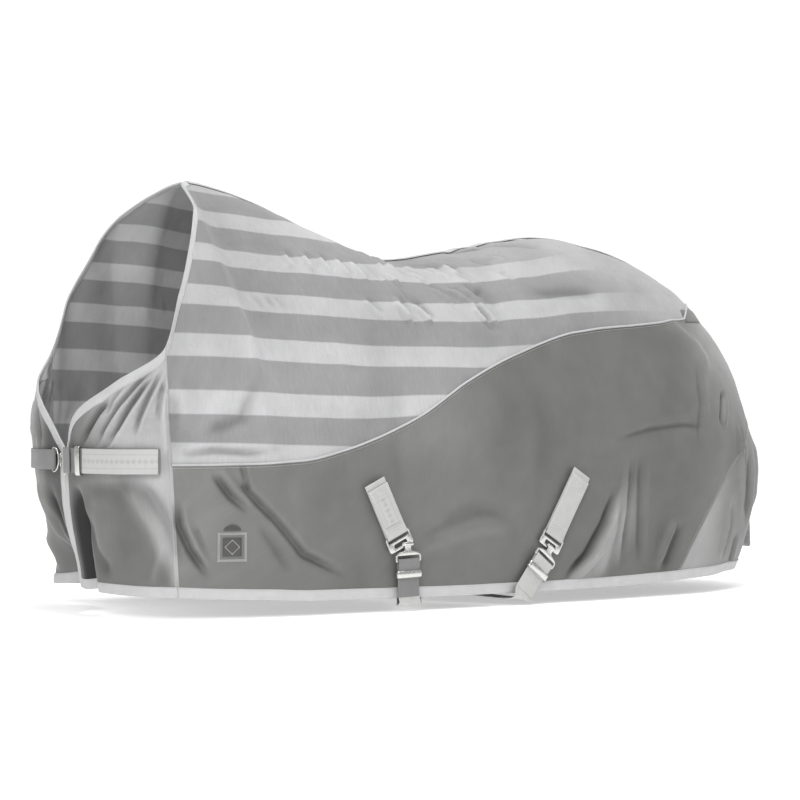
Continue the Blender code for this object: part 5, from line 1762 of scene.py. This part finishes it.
def hang_side(drape: Drape) -> None:
    """Builds one side of the sheet and gives its pieces to their bodies.

    The chest front and its tapes ride no body; they stay where they are made.

    Args:
        drape: The side.
    """
    word = drape.side.word
    panels, tapes, seams = Panels(drape).build(), EdgeTapes(drape).build(), Seams(drape).build()
    front = [f"{word}_chest_front", *[n for n in tapes if n.startswith((f"{word}_chest", f"{word}_front"))]]
    front += [n for n in seams if "shoulder" in n]
    everything = {**panels, **tapes, **seams}
    hitch({n: o for n, o in everything.items() if n not in front}, "sheet")
    middle = SHAPE.point(SHOULDER, 0.5) * drape.flip
    for name in front:
        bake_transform(everything[name])
        dress_piece(name, everything[name])


def hang_surcingle(surcingle: Surcingle) -> None:
    """Builds one surcingle; its strap end rides no body and stays where it is made."""
    word = surcingle.hand.value
    pieces = surcingle.build()
    homes = {"tail": f"{word}_strap_end", "t_hook": f"{word}_hook", "keeper": f"{word}_keeper"}
    for name, obj in pieces.items():
        if name == f"{word}_strap_tail":
            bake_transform(obj)
            dress_piece(name, obj)
            continue
        body = next((home for key, home in homes.items() if key in name), "sheet")
        hitch({name: obj}, body)


# ---- the studio


@dataclass
class Studio:
    """A pale floor and sweep, soft light from above and in front, and the camera."""

    floor_z: float = -0.722
    azimuth: float = -33.0
    distance: float = 6.0
    height: float = -0.275
    lens: float = 125.6

    def floor(self) -> None:
        """A pale floor that sweeps up far behind."""
        a = math.radians(self.azimuth)
        back = np.array([-math.sin(a), math.cos(a), 0.0])
        side = np.array([math.cos(a), math.sin(a), 0.0])
        rows = []
        for run, rise in ((-9.0, 0.0), (0.0, 0.0), (6.0, 0.0), (8.5, 0.25), (10.5, 1.2), (11.5, 3.0),
                          (12.0, 9.0)):
            rows.append([back * run + side * w + np.array([0, 0, self.floor_z + rise]) for w in (-14.0,
                    -5.0, 0.0, 5.0, 14.0)])
        made = grid_object("studio_floor", np.array(rows), Backdrop("matt_studio_paper", 0.95))
        made.modifiers.new("Sweep", "SUBSURF").levels = 2
        made.modifiers["Sweep"].render_levels = 3

    def lamp(self, name: str, at: tuple, aim: tuple, size: float, power: float) -> None:
        """A square soft light pointed at a place."""
        light = bpy.data.lights.new(name, "AREA")
        light.shape, light.size, light.energy = "SQUARE", size, power
        made = bpy.data.objects.new(name, light)
        made.location = at
        made.rotation_euler = (Vector(aim) - Vector(at)).to_track_quat("-Z", "Y").to_euler()
        bpy.context.scene.collection.objects.link(made)

    def build(self) -> None:
        """Sets the floor, the lights, the surroundings and the camera."""
        self.floor()
        self.lamp("overhead_softbox", (0.2, -0.6, 3.4), (0.05, 0.1, 0.0), 2.4, 122.0)
        self.lamp("front_softbox", (-3.6, -3.6, 2.2), (-0.2, -0.2, -0.3), 1.7, 104.0)
        self.lamp("rear_softbox", (3.4, -2.2, 2.0), (0.7, 0.0, -0.2), 1.6, 5.0)
        world = bpy.data.worlds.new("studio_air")
        bpy.context.scene.world = world
        world.use_nodes = True
        air = next(n for n in world.node_tree.nodes if n.type == "BACKGROUND")
        air.inputs[0].default_value = (1.0, 1.0, 1.0, 1.0)
        air.inputs[1].default_value = 0.52
        bpy.context.scene.view_settings.view_transform = "Standard"
        camera = bpy.data.cameras.new("camera")
        camera.lens, camera.sensor_width = self.lens, 36.0
        camera.shift_x, camera.shift_y = 0.01875, -0.0125
        made = bpy.data.objects.new("camera", camera)
        a = math.radians(self.azimuth)
        made.location = (self.distance * math.sin(a), -self.distance * math.cos(a), self.height)
        made.rotation_euler = (math.radians(90.0), 0.0, a)
        bpy.context.scene.collection.objects.link(made)
        bpy.context.scene.camera = made


@dataclass(frozen=True)
class Backdrop(Finish):
    """Matt white studio paper that glows slightly by itself, so that it stays evenly pale."""

    colour: str = "#f6f6f6"

    def dress(self, tree: bpy.types.NodeTree, shader: bpy.types.Node) -> None:
        """Its colour with the faintest unevenness."""
        noise = add_node(tree, "ShaderNodeTexNoise", None, {"Scale": 0.8, "Detail": 1.0})
        tone = add_node(tree, "ShaderNodeMapRange", None, {1: 0.3, 2: 0.7, 3: 0.985, 4: 1.0},
                        {0: noise.outputs[0]})
        base = add_node(tree, "ShaderNodeMix", {"data_type": "RGBA", "blend_type": "MULTIPLY"},
                        {0: 1.0, 6: srgb(self.colour)}, {7: tone.outputs[0]})
        tree.links.new(base.outputs[2], shader.inputs["Base Color"])
        shader.inputs["Emission Color"].default_value = (1.0, 1.0, 1.0, 1.0)
        shader.inputs["Emission Strength"].default_value = 0.42


def main() -> None:
    """Builds the fly sheet piece by piece, then the studio."""
    logging.basicConfig(level=logging.INFO, format="%(message)s")
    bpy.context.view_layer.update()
    for drape in DRAPES:
        hang_side(drape)
    hitch(SpineTape().build(), "sheet")
    hitch(TailFlap().build(), "tail_flap")
    hang_surcingle(Surcingle(Hand.FRONT, (-0.243, -0.458), (-0.192, -0.566), (-0.186, -0.700),
                             (0.285, -0.455), -0.650,
                             0.030, SHADED_WEBBING, True))
    hang_surcingle(Surcingle(Hand.REAR, (0.285, -0.448), (0.205, -0.580), (0.110, -0.700), (-0.225, -0.462),
                             -0.668,
                             0.014, WEBBING, False))
    closure = ChestClosure().build()
    homes = {"chest_t_hook_casting": "chest_hook", "chest_strap_slide": "chest_slider",
             "chest_d_ring": "right_front",
             "chest_ring_webbing": "right_front"}
    for name, obj in closure.items():
        hitch({name: obj}, homes.get(name, "left_front"))
    hitch(Trims().build(), "sheet")
    Studio().build()


if __name__ == "__main__":
    main()
